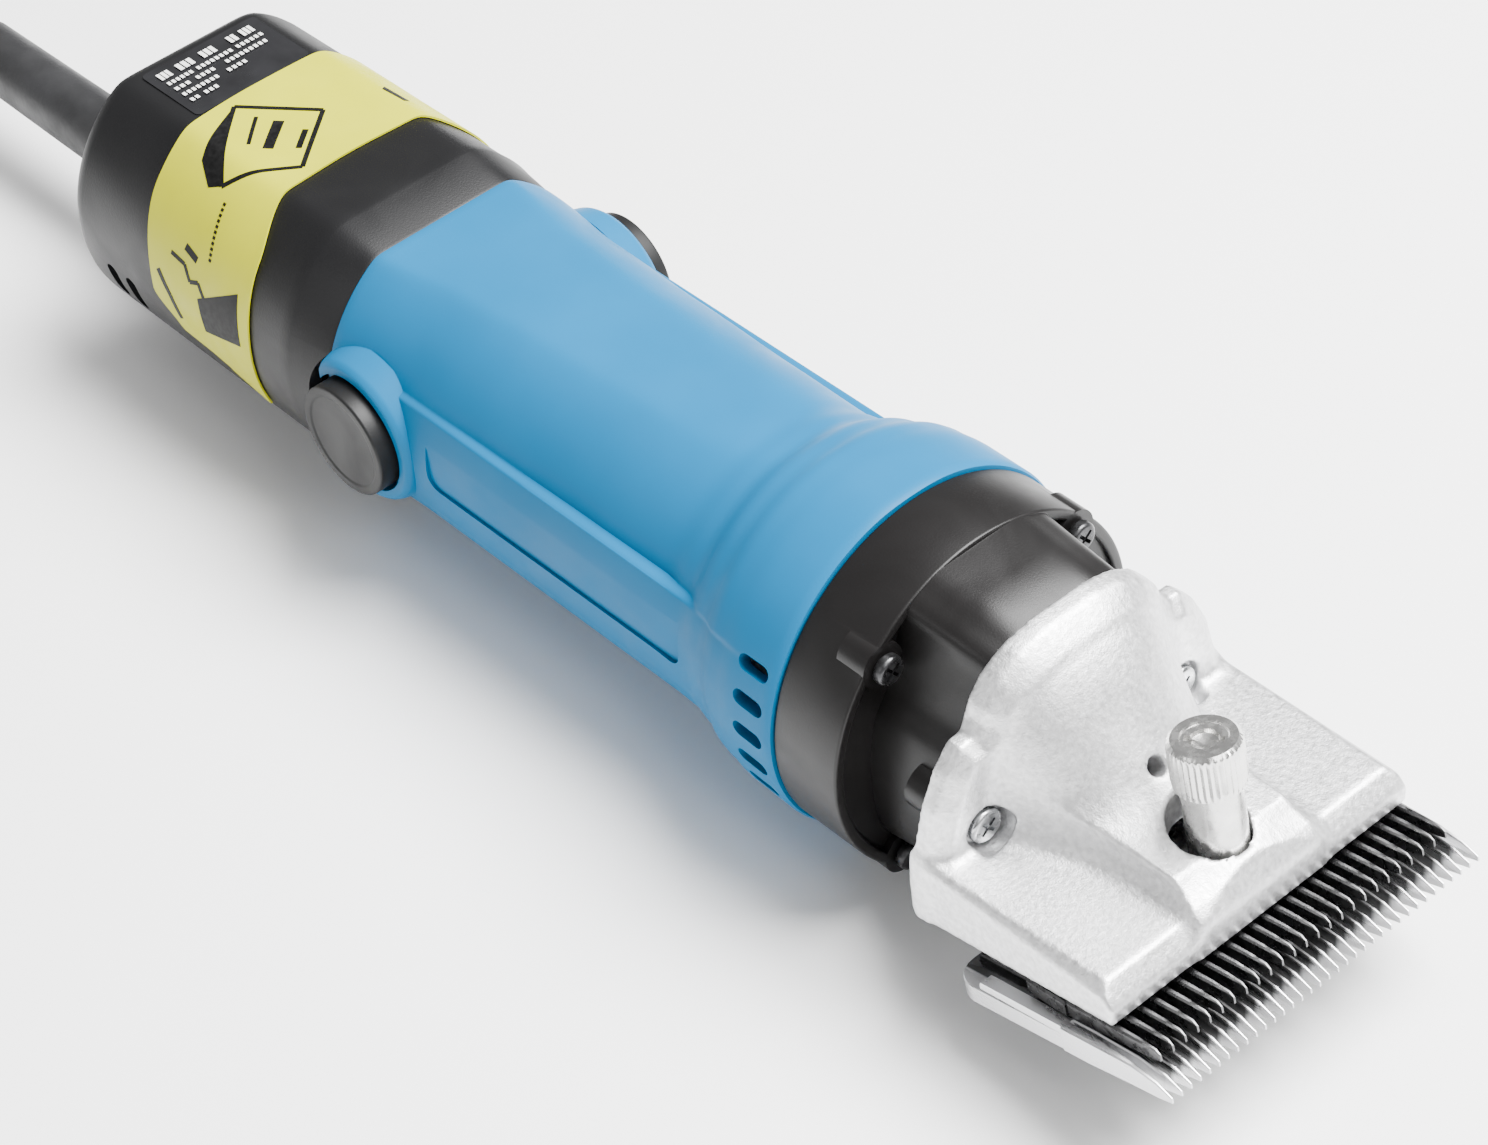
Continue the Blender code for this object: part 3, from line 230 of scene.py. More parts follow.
def make_materials():
    m = {}
    m["handle_blue"] = moulded_plastic("handle_blue", (0.0, 0.118, 0.265), 0.45, 0.012, 0.12)
    m["black_plastic"] = moulded_plastic("black_plastic", (0.005, 0.005, 0.0055), 0.44, 0.03)
    m["nose_black"] = moulded_plastic("nose_black", (0.006, 0.0055, 0.0055), 0.38, 0.015)
    m["cap_black"] = moulded_plastic("cap_black", (0.007, 0.007, 0.0072), 0.5, 0.015, 0.3)
    m["nylon"] = moulded_plastic("nylon", (0.72, 0.69, 0.60), 0.5, 0.01)
    rubber = Surface("rubber", (0.014, 0.014, 0.015), 0.50, IOR=1.5)
    rubber.tint(rubber.noise(90, 4), 0.8, 1.3).rough(rubber.noise(120, 4), 0.1)
    m["rubber"] = rubber.bump(rubber.noise(900, 3), 0.05).material
    cast = Surface("cast_alloy", (0.74, 0.74, 0.745), 0.47, 1.0)
    cast.tint(cast.noise(900, 4), 0.86, 1.06).rough(cast.noise(1100, 3), 0.05)
    m["cast_alloy"] = cast.bump(cast.noise(900, 4), 0.10).bump(cast.noise(3200, 2), 0.05).material
    blade = Surface("blade_steel", (0.58, 0.58, 0.59), 0.30, 1.0)
    # The comb's middle is painted darker: partly oil, partly painted shade under the cutter.
    blade.rough(blade.noise(500, 3, (0.04, 1, 1)), 0.08).oily_and_shaded_middle()
    m["blade_steel"] = blade.bump(blade.noise(1800, 2, (0.03, 1, 1)), 0.01).material
    cutter = Surface("cutter_steel", (0.15, 0.15, 0.152), 0.30, 1.0)
    cutter.tint(cutter.noise(90, 5), 0.75, 1.1).rough(cutter.noise(600, 3, (1, 0.05, 1)), 0.08)
    m["cutter_steel"] = cutter.bump(cutter.noise(1600, 2, (1, 0.05, 1)), 0.012).material
    steel = Surface("steel", (0.56, 0.57, 0.58), 0.28, 1.0)
    steel.tint(steel.noise(400, 4), 0.85, 1.08).rough(steel.noise(700, 4), 0.08)
    m["steel"] = steel.bump(steel.noise(2000, 2), 0.01).material
    dark = Surface("dark_steel", (0.05, 0.05, 0.052), 0.34, 0.9)
    dark.tint(dark.noise(500, 4), 0.7, 1.4).rough(dark.noise(700, 4), 0.1)
    m["dark_steel"] = dark.bump(dark.noise(1500, 3), 0.02).material
    nickel = Surface("nickel", (0.72, 0.715, 0.70), 0.26, 1.0)
    nickel.tint(nickel.noise(250, 4), 0.9, 1.05).rough(nickel.noise(600, 4), 0.06)
    m["nickel"] = nickel.bump(nickel.noise(2500, 2), 0.008).material
    brass = Surface("brass", (0.72, 0.50, 0.20), 0.30, 1.0)
    m["brass"] = brass.tint(brass.noise(200, 4), 0.8, 1.05).rough(brass.noise(500, 3), 0.1).material
    copper = Surface("copper", (0.62, 0.24, 0.10), 0.30, 0.9)
    copper.tint(copper.noise(300, 4), 0.7, 1.1).rough(copper.noise(500, 3), 0.08)
    m["copper"] = copper.bump(copper.noise(1400, 1, (0.08, 1, 1)), 0.15).material
    core = Surface("lamination", (0.16, 0.16, 0.17), 0.5, 0.8)
    core.tint(core.noise(900, 2, (4, 0.02, 0.02)), 0.6, 1.4).rough(core.noise(400, 3), 0.1)
    m["lamination"] = core.bump(core.noise(900, 1, (4, 0.02, 0.02)), 0.1).material
    carbon = Surface("carbon", (0.03, 0.03, 0.03), 0.65)
    m["carbon"] = carbon.tint(carbon.noise(900, 4), 0.6, 1.6).bump(carbon.noise(1200, 3), 0.02).material
    film = Surface("label_yellow", (0.46, 0.46, 0.0), 0.45)
    film.shader.inputs["Specular IOR Level"].default_value = 0.3
    film.tint(film.noise(45, 4), 0.95, 1.04).rough(film.noise(140, 4), 0.08)
    m["label_yellow"] = film.bump(film.noise(90, 3), 0.05, 0.6).material
    plate = Surface("label_black", (0.008, 0.008, 0.009), 0.22)
    plate.tint(plate.noise(120, 4), 0.8, 1.4).rough(plate.noise(200, 4), 0.06)
    m["label_black"] = plate.bump(plate.noise(160, 2), 0.02, 0.5).material
    white = Surface("print_white", (0.80, 0.80, 0.78), 0.45)
    m["print_white"] = white.tint(white.noise(900, 3), 0.9, 1.05).rough(white.noise(900, 3), 0.05).material
    black = Surface("print_black", (0.004, 0.004, 0.004), 0.5)
    black.shader.inputs["Specular IOR Level"].default_value = 0.15
    m["print_black"] = black.tint(black.noise(900, 3), 0.7, 1.5).rough(black.noise(900, 3), 0.05).material
    return m


MATERIALS = make_materials()
NODE_MATERIALS = {
    "nylon": ["crank_gear", "cooling_fan", "cord_clamp", "suppressor_capacitor"],
    "black_plastic": ["switch_body"],
    "rubber": ["lead_inner_end"],
    "cast_alloy": ["bearing_plate", "rear_bearing_bracket"],
    "brass": ["brush_holder_left", "brush_holder_right"],
    "copper": ["commutator", "armature_winding_rear", "armature_winding_front"],
    "lamination": ["stator_core", "armature_core"],
    "carbon": ["carbon_brush_left", "carbon_brush_right"],
}


# ---------------------------------------------------------------- mesh helpers

SHARP = math.radians(34)


def shade(bm):
    """Smooth everywhere except across the sharp edges."""
    for face in bm.faces:
        face.smooth = True
    for edge in bm.edges:
        edge.smooth = edge.calc_face_angle(0.0) < SHARP


def finish_mesh(name, bm, place=TOOL):
    """Turns a bmesh in millimetres into an object in the frame, smooth except across its sharp edges."""
    bmesh.ops.remove_doubles(bm, verts=bm.verts, dist=1e-4)
    bmesh.ops.recalc_face_normals(bm, faces=bm.faces)
    bm.normal_update()
    shade(bm)
    return placed(name, bm, place)


def placed(name, bm, place=TOOL):
    mesh = bpy.data.meshes.new(name)
    bm.to_mesh(mesh)
    bm.free()
    mesh.transform(place)
    obj = bpy.data.objects.new(name, mesh)
    bpy.context.collection.objects.link(obj)
    return obj


def keep(obj, body, finish, slot, *nodes):
    """Gives a finished piece its material and body, and hides the CAD nodes that it stands for; the slot is not used.
    """
    obj.data.materials.clear()
    obj.data.materials.append(MATERIALS[finish])
    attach(obj, body)
    if nodes:
        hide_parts(*nodes)
    return obj


def skin(bm, rows, closed=False):
    """Joins rings of vertices with quads. An open row of rings gets a cap at each end."""
    pairs = list(zip(rows, rows[1:]))
    if closed:
        pairs.append((rows[-1], rows[0]))
    for near, far in pairs:
        for i in range(len(near)):
            j = (i + 1) % len(near)
            bm.faces.new((near[i], near[j], far[j], far[i]))
    if not closed:
        bm.faces.new(rows[0])
        bm.faces.new(rows[-1])


def loft(name, rings, closed=False, place=TOOL):
    bm = bmesh.new()
    skin(bm, [[bm.verts.new(point) for point in ring] for ring in rings], closed)
    return finish_mesh(name, bm, place)


def circle(x, radius, count, centre=(0.0, 0.0)):
    steps = [2 * math.pi * i / count for i in range(count)]
    return [(x, centre[0] + radius * math.cos(a), centre[1] + radius * math.sin(a)) for a in steps]


def turned(name, profile, count=96, closed=False, place=TOOL):
    """Turns (x, radius) points about the X axis."""
    return loft(name, [circle(x, r, count) for x, r in profile], closed, place)


def upright(frame_matrix, x=0.0, y=0.0):
    """A frame at x, y whose X axis points up along the given frame's Z."""
    return frame_matrix @ Matrix.Translation((x, y, 0)) @ Matrix.Rotation(-math.pi / 2, 4, "Y")


def rounded(points, radius=0.5, steps=3):
    """Rounds the inner corners of an open profile."""
    made = [points[0]]
    for before, corner, after in zip(points, points[1:], points[2:]):
        a, c, b = Vector(before), Vector(corner), Vector(after)
        reach = min(radius, (a - c).length * 0.45, (b - c).length * 0.45)
        start = c + (a - c).normalized() * reach
        end = c + (b - c).normalized() * reach
        for i in range(steps + 1):
            t = i / steps
            made.append(tuple((1 - t) ** 2 * start + 2 * t * (1 - t) * c + t * t * end))
    return [*made, points[-1]]


def remove(*objects):
    for obj in objects:
        bpy.data.objects.remove(obj)


def combine(body, tools, operation="DIFFERENCE"):
    """Applies one Boolean with several tools. The tools may not overlap each other."""
    bm = bmesh.new()
    for tool in tools:
        bm.from_mesh(tool.data)
    joined = bpy.data.meshes.new("tools")
    bm.to_mesh(joined)
    bm.free()
    other = bpy.data.objects.new("tools", joined)
    bpy.context.collection.objects.link(other)
    step = body.modifiers.new("cut", "BOOLEAN")
    step.operation = operation
    step.object = other
    step.solver = "EXACT"
    settle(body)
    remove(other, *tools)
    return body


def settle(body):
    """Applies the modifiers and marks the sharp edges again."""
    graph = bpy.context.evaluated_depsgraph_get()
    mesh = bpy.data.meshes.new_from_object(body.evaluated_get(graph))
    body.modifiers.clear()
    body.data = mesh
    bm = bmesh.new()
    bm.from_mesh(mesh)
    bmesh.ops.dissolve_degenerate(bm, edges=bm.edges, dist=1e-7)
    bm.normal_update()
    shade(bm)
    bm.to_mesh(mesh)
    bm.free()


def rounded_bar(name, length, width, depth, place, corners=6):
    """A cutter whose outline in its own XY plane is a slot with round ends, depth tall and centred."""
    ends = []
    reach = length / 2 - width / 2
    for side in (1, -1):
        for i in range(corners + 1):
            a = -math.pi / 2 + math.pi * i / corners
            ends.append((side * (reach + width / 2 * math.cos(a)), side * width / 2 * math.sin(a)))
    rings = [[(x, y, z) for x, y in ends] for z in (-depth / 2, depth / 2)]
    return loft(name, rings, place=place)


def rounded_box(name, low, high, radius, place=TOOL, corners=5):
    """A block with rounded corners in plan, along its own Y."""
    outline = []
    middles = [
        (high[0] - radius, high[2] - radius, 0),
        (low[0] + radius, high[2] - radius, 90),
        (low[0] + radius, low[2] + radius, 180),
        (high[0] - radius, low[2] + radius, 270),
    ]
    for x, z, start in middles:
        for i in range(corners + 1):
            a = math.radians(start + 90 * i / corners)
            outline.append((x + radius * math.cos(a), z + radius * math.sin(a)))
    return loft(name, [[(x, y, z) for x, z in outline] for y in (low[1], high[1])], place=place)


def table(points, x):
    """Smooth interpolation through (x, value...) rows."""
    xs = [row[0] for row in points]
    i = max(0, min(len(xs) - 2, sum(1 for v in xs if v <= x) - 1))
    t = min(1.0, max(0.0, (x - xs[i]) / (xs[i + 1] - xs[i])))
    t = t * t * (3 - 2 * t)
    return [a + (b - a) * t for a, b in zip(points[i][1:], points[i + 1][1:])]


def between(a, b, c, d, t):
    """The Catmull-Rom point from b, at t = 0, to c, at t = 1."""
    bend, twist = 2 * a - 5 * b + 4 * c - d, 3 * b - a - 3 * c + d
    return 0.5 * (2 * b + (c - a) * t + bend * t**2 + twist * t**3)


def steps_between(points, spacing):
    """Stations through the rows' x values, no further apart than spacing."""
    made = []
    for a, b in zip(points, points[1:]):
        count = max(1, math.ceil(abs(b[0] - a[0]) / spacing))
        made += [a[0] + (b[0] - a[0]) * i / count for i in range(count)]
    return [*made, points[-1][0]]


def soft_flat(z, flat, softness=0.35):
    """Limits a height to a flat, with rounded edges."""
    over = (abs(z) - flat) / softness
    if over > 20:
        return math.copysign(flat, z)
    return math.copysign(abs(z) - softness * math.log1p(math.exp(over)), z)


# ---------------------------------------------------------------- the lead

CORD_DIAMETER = 7.0
CORD_HEIGHT = -14.0
GUARD_END = -100.0
GAP = 0.3
COIL_CENTRE = (-208.0, 18.0)
PLUG_THICKNESS = 14.4
PLUG_REAR = -9.0
COLUMN_RADII = (49.0, 42.0, 35.0)
SHIFT = 40.0  # degrees over which the cord passes from one place in the coil to the next


def smooth_route(points, spacing):
    """Points about spacing apart on a Catmull-Rom curve through a route."""
    ends = [2 * points[0] - points[1], *points, 2 * points[-1] - points[-2]]
    line = []
    for i in range(1, len(ends) - 2):
        a, b, c, d = ends[i - 1 : i + 3]
        steps = max(1, round((c - b).length / spacing))
        for s in range(steps):
            t = s / steps
            line.append(between(a, b, c, d, t))
    return [*line, points[-1]]


def eased(t, start):
    """0 before a shift that begins at start degrees, 1 after it, and smooth between."""
    s = min(1.0, max(0.0, (t - start) / SHIFT))
    return s * s * (3 - 2 * s)


def coil_points():
    """The coil is wound column by column: up the outer one, down the middle one and up the inner one.

    Each shift begins where no neighbour shifts, so the turns stay a diameter apart.
    """
    pitch = CORD_DIAMETER
    outer, middle, inner = COLUMN_RADII
    to_middle, to_inner = 3 * 360 + 250, 7 * 360 + 150
    rises = [300 + 360 * k for k in range(3)]
    falls = [4 * 360 + 200 + 360 * k for k in range(3)]
    rises += [8 * 360 + 100 + 360 * k for k in range(3)]
    points = []
    for step in range(18, 10 * 360 + 350 + 1, 18):
        radius = outer - (outer - middle) * eased(step, to_middle) - (middle - inner) * eased(step, to_inner)
        height = sum(eased(step, t) for t in rises) - sum(eased(step, t) for t in falls)
        lift = eased(step, 10 * 360 + 295) * (CORD_DIAMETER + GAP)
        a = math.radians(-90 - step)
        z = FLOOR + CORD_DIAMETER / 2 + pitch * height + lift
        points.append(Vector((COIL_CENTRE[0] + radius * math.cos(a), COIL_CENTRE[1] + radius * math.sin(a), z)))
    return points


def tail_points():
    """The end of the lead lies on the coil: it turns outwards and then back across it to the plug."""
    top = FLOOR + 4 * CORD_DIAMETER
    lift = top + CORD_DIAMETER / 2 + GAP
    middle = top + PLUG_THICKNESS / 2 + GAP
    bend = 30.0
    route = []
    for degrees, radius in ((-90, 35), (-112.5, 35.5), (-135, 37), (-157.5, 39.5), (-180, 42)):
        a = math.radians(degrees)
        route.append((radius * math.cos(a), radius * math.sin(a), lift))
    for degrees, rise in ((157.5, 0), (135, 0.2), (112.5, 0.7), (90, 1)):
        a = math.radians(degrees)
        route.append((bend - 42 + bend * math.cos(a), bend * math.sin(a), lift + rise * (middle - lift)))
    route += [(PLUG_REAR - GAP, bend, middle)]
    return [Vector((COIL_CENTRE[0] + x, COIL_CENTRE[1] + y, z)) for x, y, z in route]


def make_cord():
    cx, cy = COIL_CENTRE
    lying = FLOOR + CORD_DIAMETER / 2
    drop = lying - CORD_HEIGHT
    aside = cy - COLUMN_RADII[0]
    start = GUARD_END - GAP
    route = [(start, 0, 0), (start - 10, 0, 0), (start - 20, 0, 0)]
    route += [(start - 36, 0.12, 0.12), (start - 51, 0.5, 0.5), (start - 66, 0.88, 0.88)]
    route += [(cx + 27.5, 1, 1)]
    lead = [Vector((x, aside * side, CORD_HEIGHT + drop * down)) for x, side, down in route]
    lead = smooth_route(lead, 7.0)
    line = [*lead, Vector((cx + 14, aside, lying)), Vector((cx, aside, lying))]
    line += [*coil_points(), *tail_points()]
    curve = bpy.data.curves.new("mains_lead", "CURVE")
    curve.dimensions = "3D"
    curve.bevel_depth = CORD_DIAMETER / 2 * MM
    curve.bevel_resolution = 5
    curve.use_fill_caps = True
    spline = curve.splines.new("NURBS")
    spline.points.add(len(line) - 1)
    for knot, point in zip(spline.points, line):
        knot.co = (*(TOOL @ point), 1.0)
    spline.order_u = 3
    spline.resolution_u = 3
    spline.use_endpoint_u = True
    cord = bpy.data.objects.new("mains_lead", curve)
    bpy.context.collection.objects.link(cord)
    curve.materials.append(MATERIALS["rubber"])
    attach(cord, "housing")
    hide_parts("mains_cord", "cord_coil", "cord_tail")


# ---------------------------------------------------------------- handle

BRUSH_STATION = 77.8
VENT_STATION = 190.8
VENT_STEP = 11.4  # degrees
HANDLE_REAR, HANDLE_FRONT = 68.1, 196.6
HANDLE_WALL = 25.6  # radius of the motor's space
HANDLE_ROWS = [  # x, radius of the palm side, radius above the ridges, height of the flats
    (HANDLE_REAR, 31.6, 31.6, 27.3),
    (69.0, 31.9, 31.8, 27.6),
    (90.0, 31.3, 30.3, 27.7),
    (114.0, 31.3, 29.7, 27.8),
    (140.0, 31.3, 29.2, 27.9),
    (160.0, 31.3, 29.0, 28.3),
    (167.0, 31.5, 30.0, 29.6),
    (174.0, 32.8, 33.2, 33.2),
    (180.0, 34.9, 35.4, 35.4),
    (186.0, 35.8, 36.0, 36.0),
    (195.8, 36.0, 36.0, 36.0),
    (HANDLE_FRONT, 35.6, 35.6, 35.6),
]


def brush_side(sign):
    """A frame whose X axis runs out of the handle through a brush."""
    return TOOL @ Matrix.Translation((BRUSH_STATION, 0, 0)) @ Matrix.Rotation(sign * math.pi / 2, 4, "Z")


def handle_angles():
    """Degrees round the handle, closer together at the ridges and at the edges of the flats."""
    quarter = set(range(0, 91, 2)) | {20 + 0.5 * k for k in range(17)} | {57 + 0.75 * k for k in range(20)}
    half = sorted(quarter | {180 - a for a in quarter})
    return half + [-a for a in reversed(half) if 0 < a < 180]


def handle_ring(x, low, high, flat, angles):
    points = []
    for degrees in angles:
        a = math.radians(degrees)
        folded = degrees if degrees <= 90 else 180 - degrees
        s = min(1.0, max(0.0, (folded - 22.5) / 2.5))
        radius = low + (high - low) * s * s * (3 - 2 * s)
        points.append((x, radius * math.cos(a), soft_flat(radius * math.sin(a), flat)))
    return points


def make_handle():
    angles = handle_angles()
    rings = [handle_ring(x, *table(HANDLE_ROWS, x), angles) for x in steps_between(HANDLE_ROWS, 1.6)]
    inside = [(HANDLE_FRONT, 33.0), (184.0, 33.0), (184.0, 29.6), (176.0, 29.6)]
    for x, radius in [*inside, (176.0, HANDLE_WALL), (HANDLE_REAR, HANDLE_WALL)]:
        rings.append(handle_ring(x, radius, radius, min(radius, 33.0), angles))
    shell = loft("handle_shell", rings, closed=True)
    rims, cutters = [], []
    for sign in (1, -1):
        side = brush_side(sign)
        profile = [(26.6, 12.5), *rounded([(26.6, 16.4), (31.6, 15.0), (32.7, 14.0), (32.7, 12.5)], 0.5)]
        rims.append(turned("rim", profile, 72, closed=True, place=side))
        cutters.append(turned("bore", [(30.6, 12.1), (45.0, 12.1)], 64, place=side))
        cutters.append(turned("brush_bore", [(20.0, 7.3), (30.4, 7.3)], 32, place=side))
        low, high = sorted((sign * 30.6, sign * 34))
        cutters.append(rounded_box("panel", (97, low, -2.6), (168, high, 11.3), 3.0))
        for k in range(-2, 3):
            turn = Matrix.Rotation(math.radians((0 if sign > 0 else 180) + VENT_STEP * k), 4, "X")
            place = TOOL @ turn @ Matrix.Translation((VENT_STATION, 34.5, 0)) @ Matrix.Rotation(-math.pi / 2, 4, "X")
            cutters.append(rounded_bar("vent", 7.6, 3.2, 8.0, place))
    combine(shell, rims, "UNION")
    combine(shell, [turned("rear_trim", [(40, 45), (HANDLE_REAR, 45)], 48)])
    combine(shell, cutters)
    keep(shell, "housing", "handle_blue", "handle_blue", "handle_housing")


def make_brush_caps():
    for side, sign in (("left", 1), ("right", -1)):
        outline = [(27.2, 0.2), (27.2, 6.9), (30.9, 6.9), (30.9, 11.6), (36.35, 11.6), (36.35, 9.8)]
        outline += [(36.1, 9.4), (36.1, 0.2)]
        cap = turned(f"brush_cap_{side}_fine", rounded(outline, 0.55), 96, place=brush_side(sign))
        keep(cap, "housing", "cap_black", "cap_black", f"brush_cap_{side}")


# ---------------------------------------------------------------- rear cap, label and plate

CAP_ROWS = [  # x, radius, height of the flats
    (67.8, 31.3, 26.9),
    (67.3, 31.6, 27.2),
    (57.4, 32.8, 28.6),
    (56.6, 33.0, 28.8),
    (54.0, 32.8, 28.45),
    (20.0, 32.6, 28.15),
    (-11.5, 32.3, 28.0),
]


def cap_ring(x, radius, flat, count=144):
    steps = [2 * math.pi * i / count for i in range(count)]
    return [(x, radius * math.cos(a), soft_flat(radius * math.sin(a), flat, 0.5)) for a in steps]


def make_rear_cap():
    rings = [cap_ring(x, r, flat) for x, r, flat in CAP_ROWS]
    for degrees in range(15, 91, 15):
        a = math.radians(degrees)
        drop = 3.6 * (1 - math.cos(a))
        rings.append(cap_ring(-11.5 - 4.4 * math.sin(a), 32.3 - drop, 28.0 - drop))
    shell = loft("rear_cap_shell", rings)
    inside = loft("inside", [cap_ring(70.0, 29.2, 25.2, 96), cap_ring(-13.0, 28.6, 24.6, 96)])
    combine(shell, [inside])
    cutters = [loft("hole", [circle(x, 6.6, 48, (0, CORD_HEIGHT)) for x in (-18, -11)])]
    cutters.append(rounded_box("switch_slot", (22.4, -3.8, -31), (37.6, 3.8, -24), 0.9))
    for y, z in ((20, 8), (-20, 8)):
        cutters.append(loft("seat", [circle(x, 3.4, 36, (y, z)) for x in (-18, -14.1)]))
    for sign in (1, -1):
        for x in (-4.5, 2.0):
            place = TOOL @ Matrix.Translation((x, sign * 31, -9)) @ Matrix.Rotation(math.pi / 2, 4, "X")
            cutters.append(rounded_bar("intake", 9.0, 3.4, 8.0, place @ Matrix.Rotation(math.pi / 2, 4, "Z")))
        side = brush_side(sign)
        cutters.append(turned("notch", [(20, 15.4), (40, 15.4)], 64, place=side))
    combine(shell, cutters)
    keep(shell, "housing", "black_plastic", "black_plastic", "rear_cap")


def on_cap(x, a, offset):
    """The point on the rear cap at x and angle a, offset outwards."""
    radius, flat = table(sorted(CAP_ROWS), x)
    y = radius * math.cos(a)
    z = soft_flat(radius * math.sin(a), flat, 0.5)
    reach = math.hypot(y, z)
    return (x, y * (reach + offset) / reach, z * (reach + offset) / reach)


LABEL_REAR = [(-24, 30), (0, 14), (40, 9), (90, 8.5), (140, 10), (180, 13), (192, 20), (195, 34), (203, 44)]
LABEL_FRONT = [(-24, 45.2), (40, 44.5), (62, 40.8), (90, 40.2), (118, 40.8), (145, 44.2), (180, 45.2), (203, 45.2)]


def make_label():
    first, last = -24, 203
    count = 150
    grid = []
    for i in range(count + 1):
        degrees = first + (last - first) * i / count
        rear, front = table(LABEL_REAR, degrees)[0], table(LABEL_FRONT, degrees)[0]
        a = math.radians(degrees)
        grid.append([(rear + (front - rear) * k / 14, a) for k in range(15)])
    bm = bmesh.new()
    outer = [[bm.verts.new(on_cap(x, a, 0.55)) for x, a in row] for row in grid]
    inner = [[bm.verts.new(on_cap(x, a, 0.15)) for x, a in row] for row in grid]
    for layer in (outer, inner):
        for near, far in zip(layer, layer[1:]):
            for k in range(14):
                bm.faces.new((near[k], near[k + 1], far[k + 1], far[k]))
    border = [(i, 0) for i in range(count)] + [(count, k) for k in range(14)]
    border += [(i, 14) for i in range(count, 0, -1)] + [(0, k) for k in range(14, 0, -1)]
    for (i, k), (j, m) in zip(border, border[1:] + border[:1]):
        bm.faces.new((outer[i][k], outer[j][m], inner[j][m], inner[i][k]))
    keep(finish_mesh("wrap_label_film", bm), "housing", "label_yellow", "label_yellow", "wrap_label")


def stroke_quads(points, width):
    """Quads of a given width along a line of flat points."""
    quads = []
    for a, b in zip(points, points[1:]):
        along = Vector(b) - Vector(a)
        count = max(1, math.ceil(along.length / 1.2))
        across = Vector((-along.y, along.x)).normalized() * width / 2
        for i in range(count):
            start = Vector(a) + along * i / count
            end = Vector(a) + along * (i + 1) / count
            quads.append([start - across, start + across, end + across, end - across])
    return quads


def patch_quads(corners, count=6):
    """A four-cornered patch in small quads."""
    a, b, c, d = (Vector(corner) for corner in corners)

    def at(s, t):
        return (a * (1 - s) + b * s) * (1 - t) + (d * (1 - s) + c * s) * t

    steps = [k / count for k in range(count + 1)]
    spans = list(zip(steps, steps[1:]))
    return [[at(s, t), at(s2, t), at(s2, t2), at(s, t2)] for s, s2 in spans for t, t2 in spans]


def make_print(name, quads, surface, finish, slot, thickness=0.08):
    """Printed marks: thin slabs that lie on a surface. surface maps a flat point and a height to a place."""
    bm = bmesh.new()
    for quad in quads:
        low = [bm.verts.new(surface(p.x, p.y, 0.0)) for p in quad]
        high = [bm.verts.new(surface(p.x, p.y, thickness)) for p in quad]
        bm.faces.new(high)
        bm.faces.new(low[::-1])
        for i in range(4):
            j = (i + 1) % 4
            bm.faces.new((low[i], low[j], high[j], high[i]))
    for face in bm.faces:
        face.smooth = False
    bmesh.ops.recalc_face_normals(bm, faces=bm.faces)
    keep(placed(name, bm), "housing", finish, slot)


def make_label_print():
    """Plain marks in place of pictograms: a framed panel with bars, a dotted line and a solid block."""

    def surface(x, arc, height):
        return on_cap(x, math.radians(90) + arc / 32.6, 0.55 + height)

    corners = [(11.6, 6.5), (25.6, -4.6), (37.4, 9.4), (26.6, 23.0)]
    quads = stroke_quads([*corners, corners[0]], 1.0)
    quads += patch_quads([(11.6, 6.5), (26.6, 23.0), (23.6, 24.6), (18.4, 21.0)], 28)
    bars = [((17.6, 5.6), (23.6, 12.2), 0.8), ((22.0, 3.4), (27.6, 10.4), 2.2)]
    for start, end, width in [*bars, ((28.2, 1.6), (32.0, 6.2), 1.2)]:
        quads += stroke_quads([start, end], width)
    for k in range(11):
        x, arc = 29.2 + 0.16 * k, 25.2 + 1.1 * k
        quads += patch_quads([(x, arc), (x + 0.75, arc), (x + 0.75, arc + 0.6), (x, arc + 0.6)], 1)
    quads += patch_quads([(28.5, 46.0), (41.0, 39.0), (42.2, 50.0), (30.0, 53.0)], 16)
    quads += stroke_quads([(15.5, 45.5), (19.0, 50.0), (21.5, 54.5)], 1.3)
    quads += stroke_quads([(19.5, 40.0), (24.0, 40.6), (26.0, 43.5), (28.6, 42.5), (30.6, 45.0)], 0.9)
    quads += stroke_quads([(23.5, 37.0), (27.5, 38.2)], 1.5)
    make_print("label_marks", quads, surface, "print_black", "label_yellow")
    # A black patch of painted shade near the label's far top corner.
    patch = patch_quads([(27.0, -19.4), (34.0, -20.2), (34.0, -18.8), (28.0, -18.0)], 3)
    make_print("label_corner_painted_shade", patch, surface, "print_black", "label_yellow")


PLATE_ROWS = [  # x, and the spans along y that are filled with blocks
    (-8.6, ((-11, -8), (-6.4, -2.4), (-0.6, 3.0), (6.2, 8.4), (9.4, 12.4))),
    (-4.9, ((-11, -4.6), (-3.8, 5.2), (6.0, 12.8))),
    (-2.4, ((-11, -7), (-5.8, -1), (1.5, 12.0))),
    (0.2, ((-11, -2), (0, 5))),
    (2.8, ((-11, -8.6), (-7.6, -4))),
]


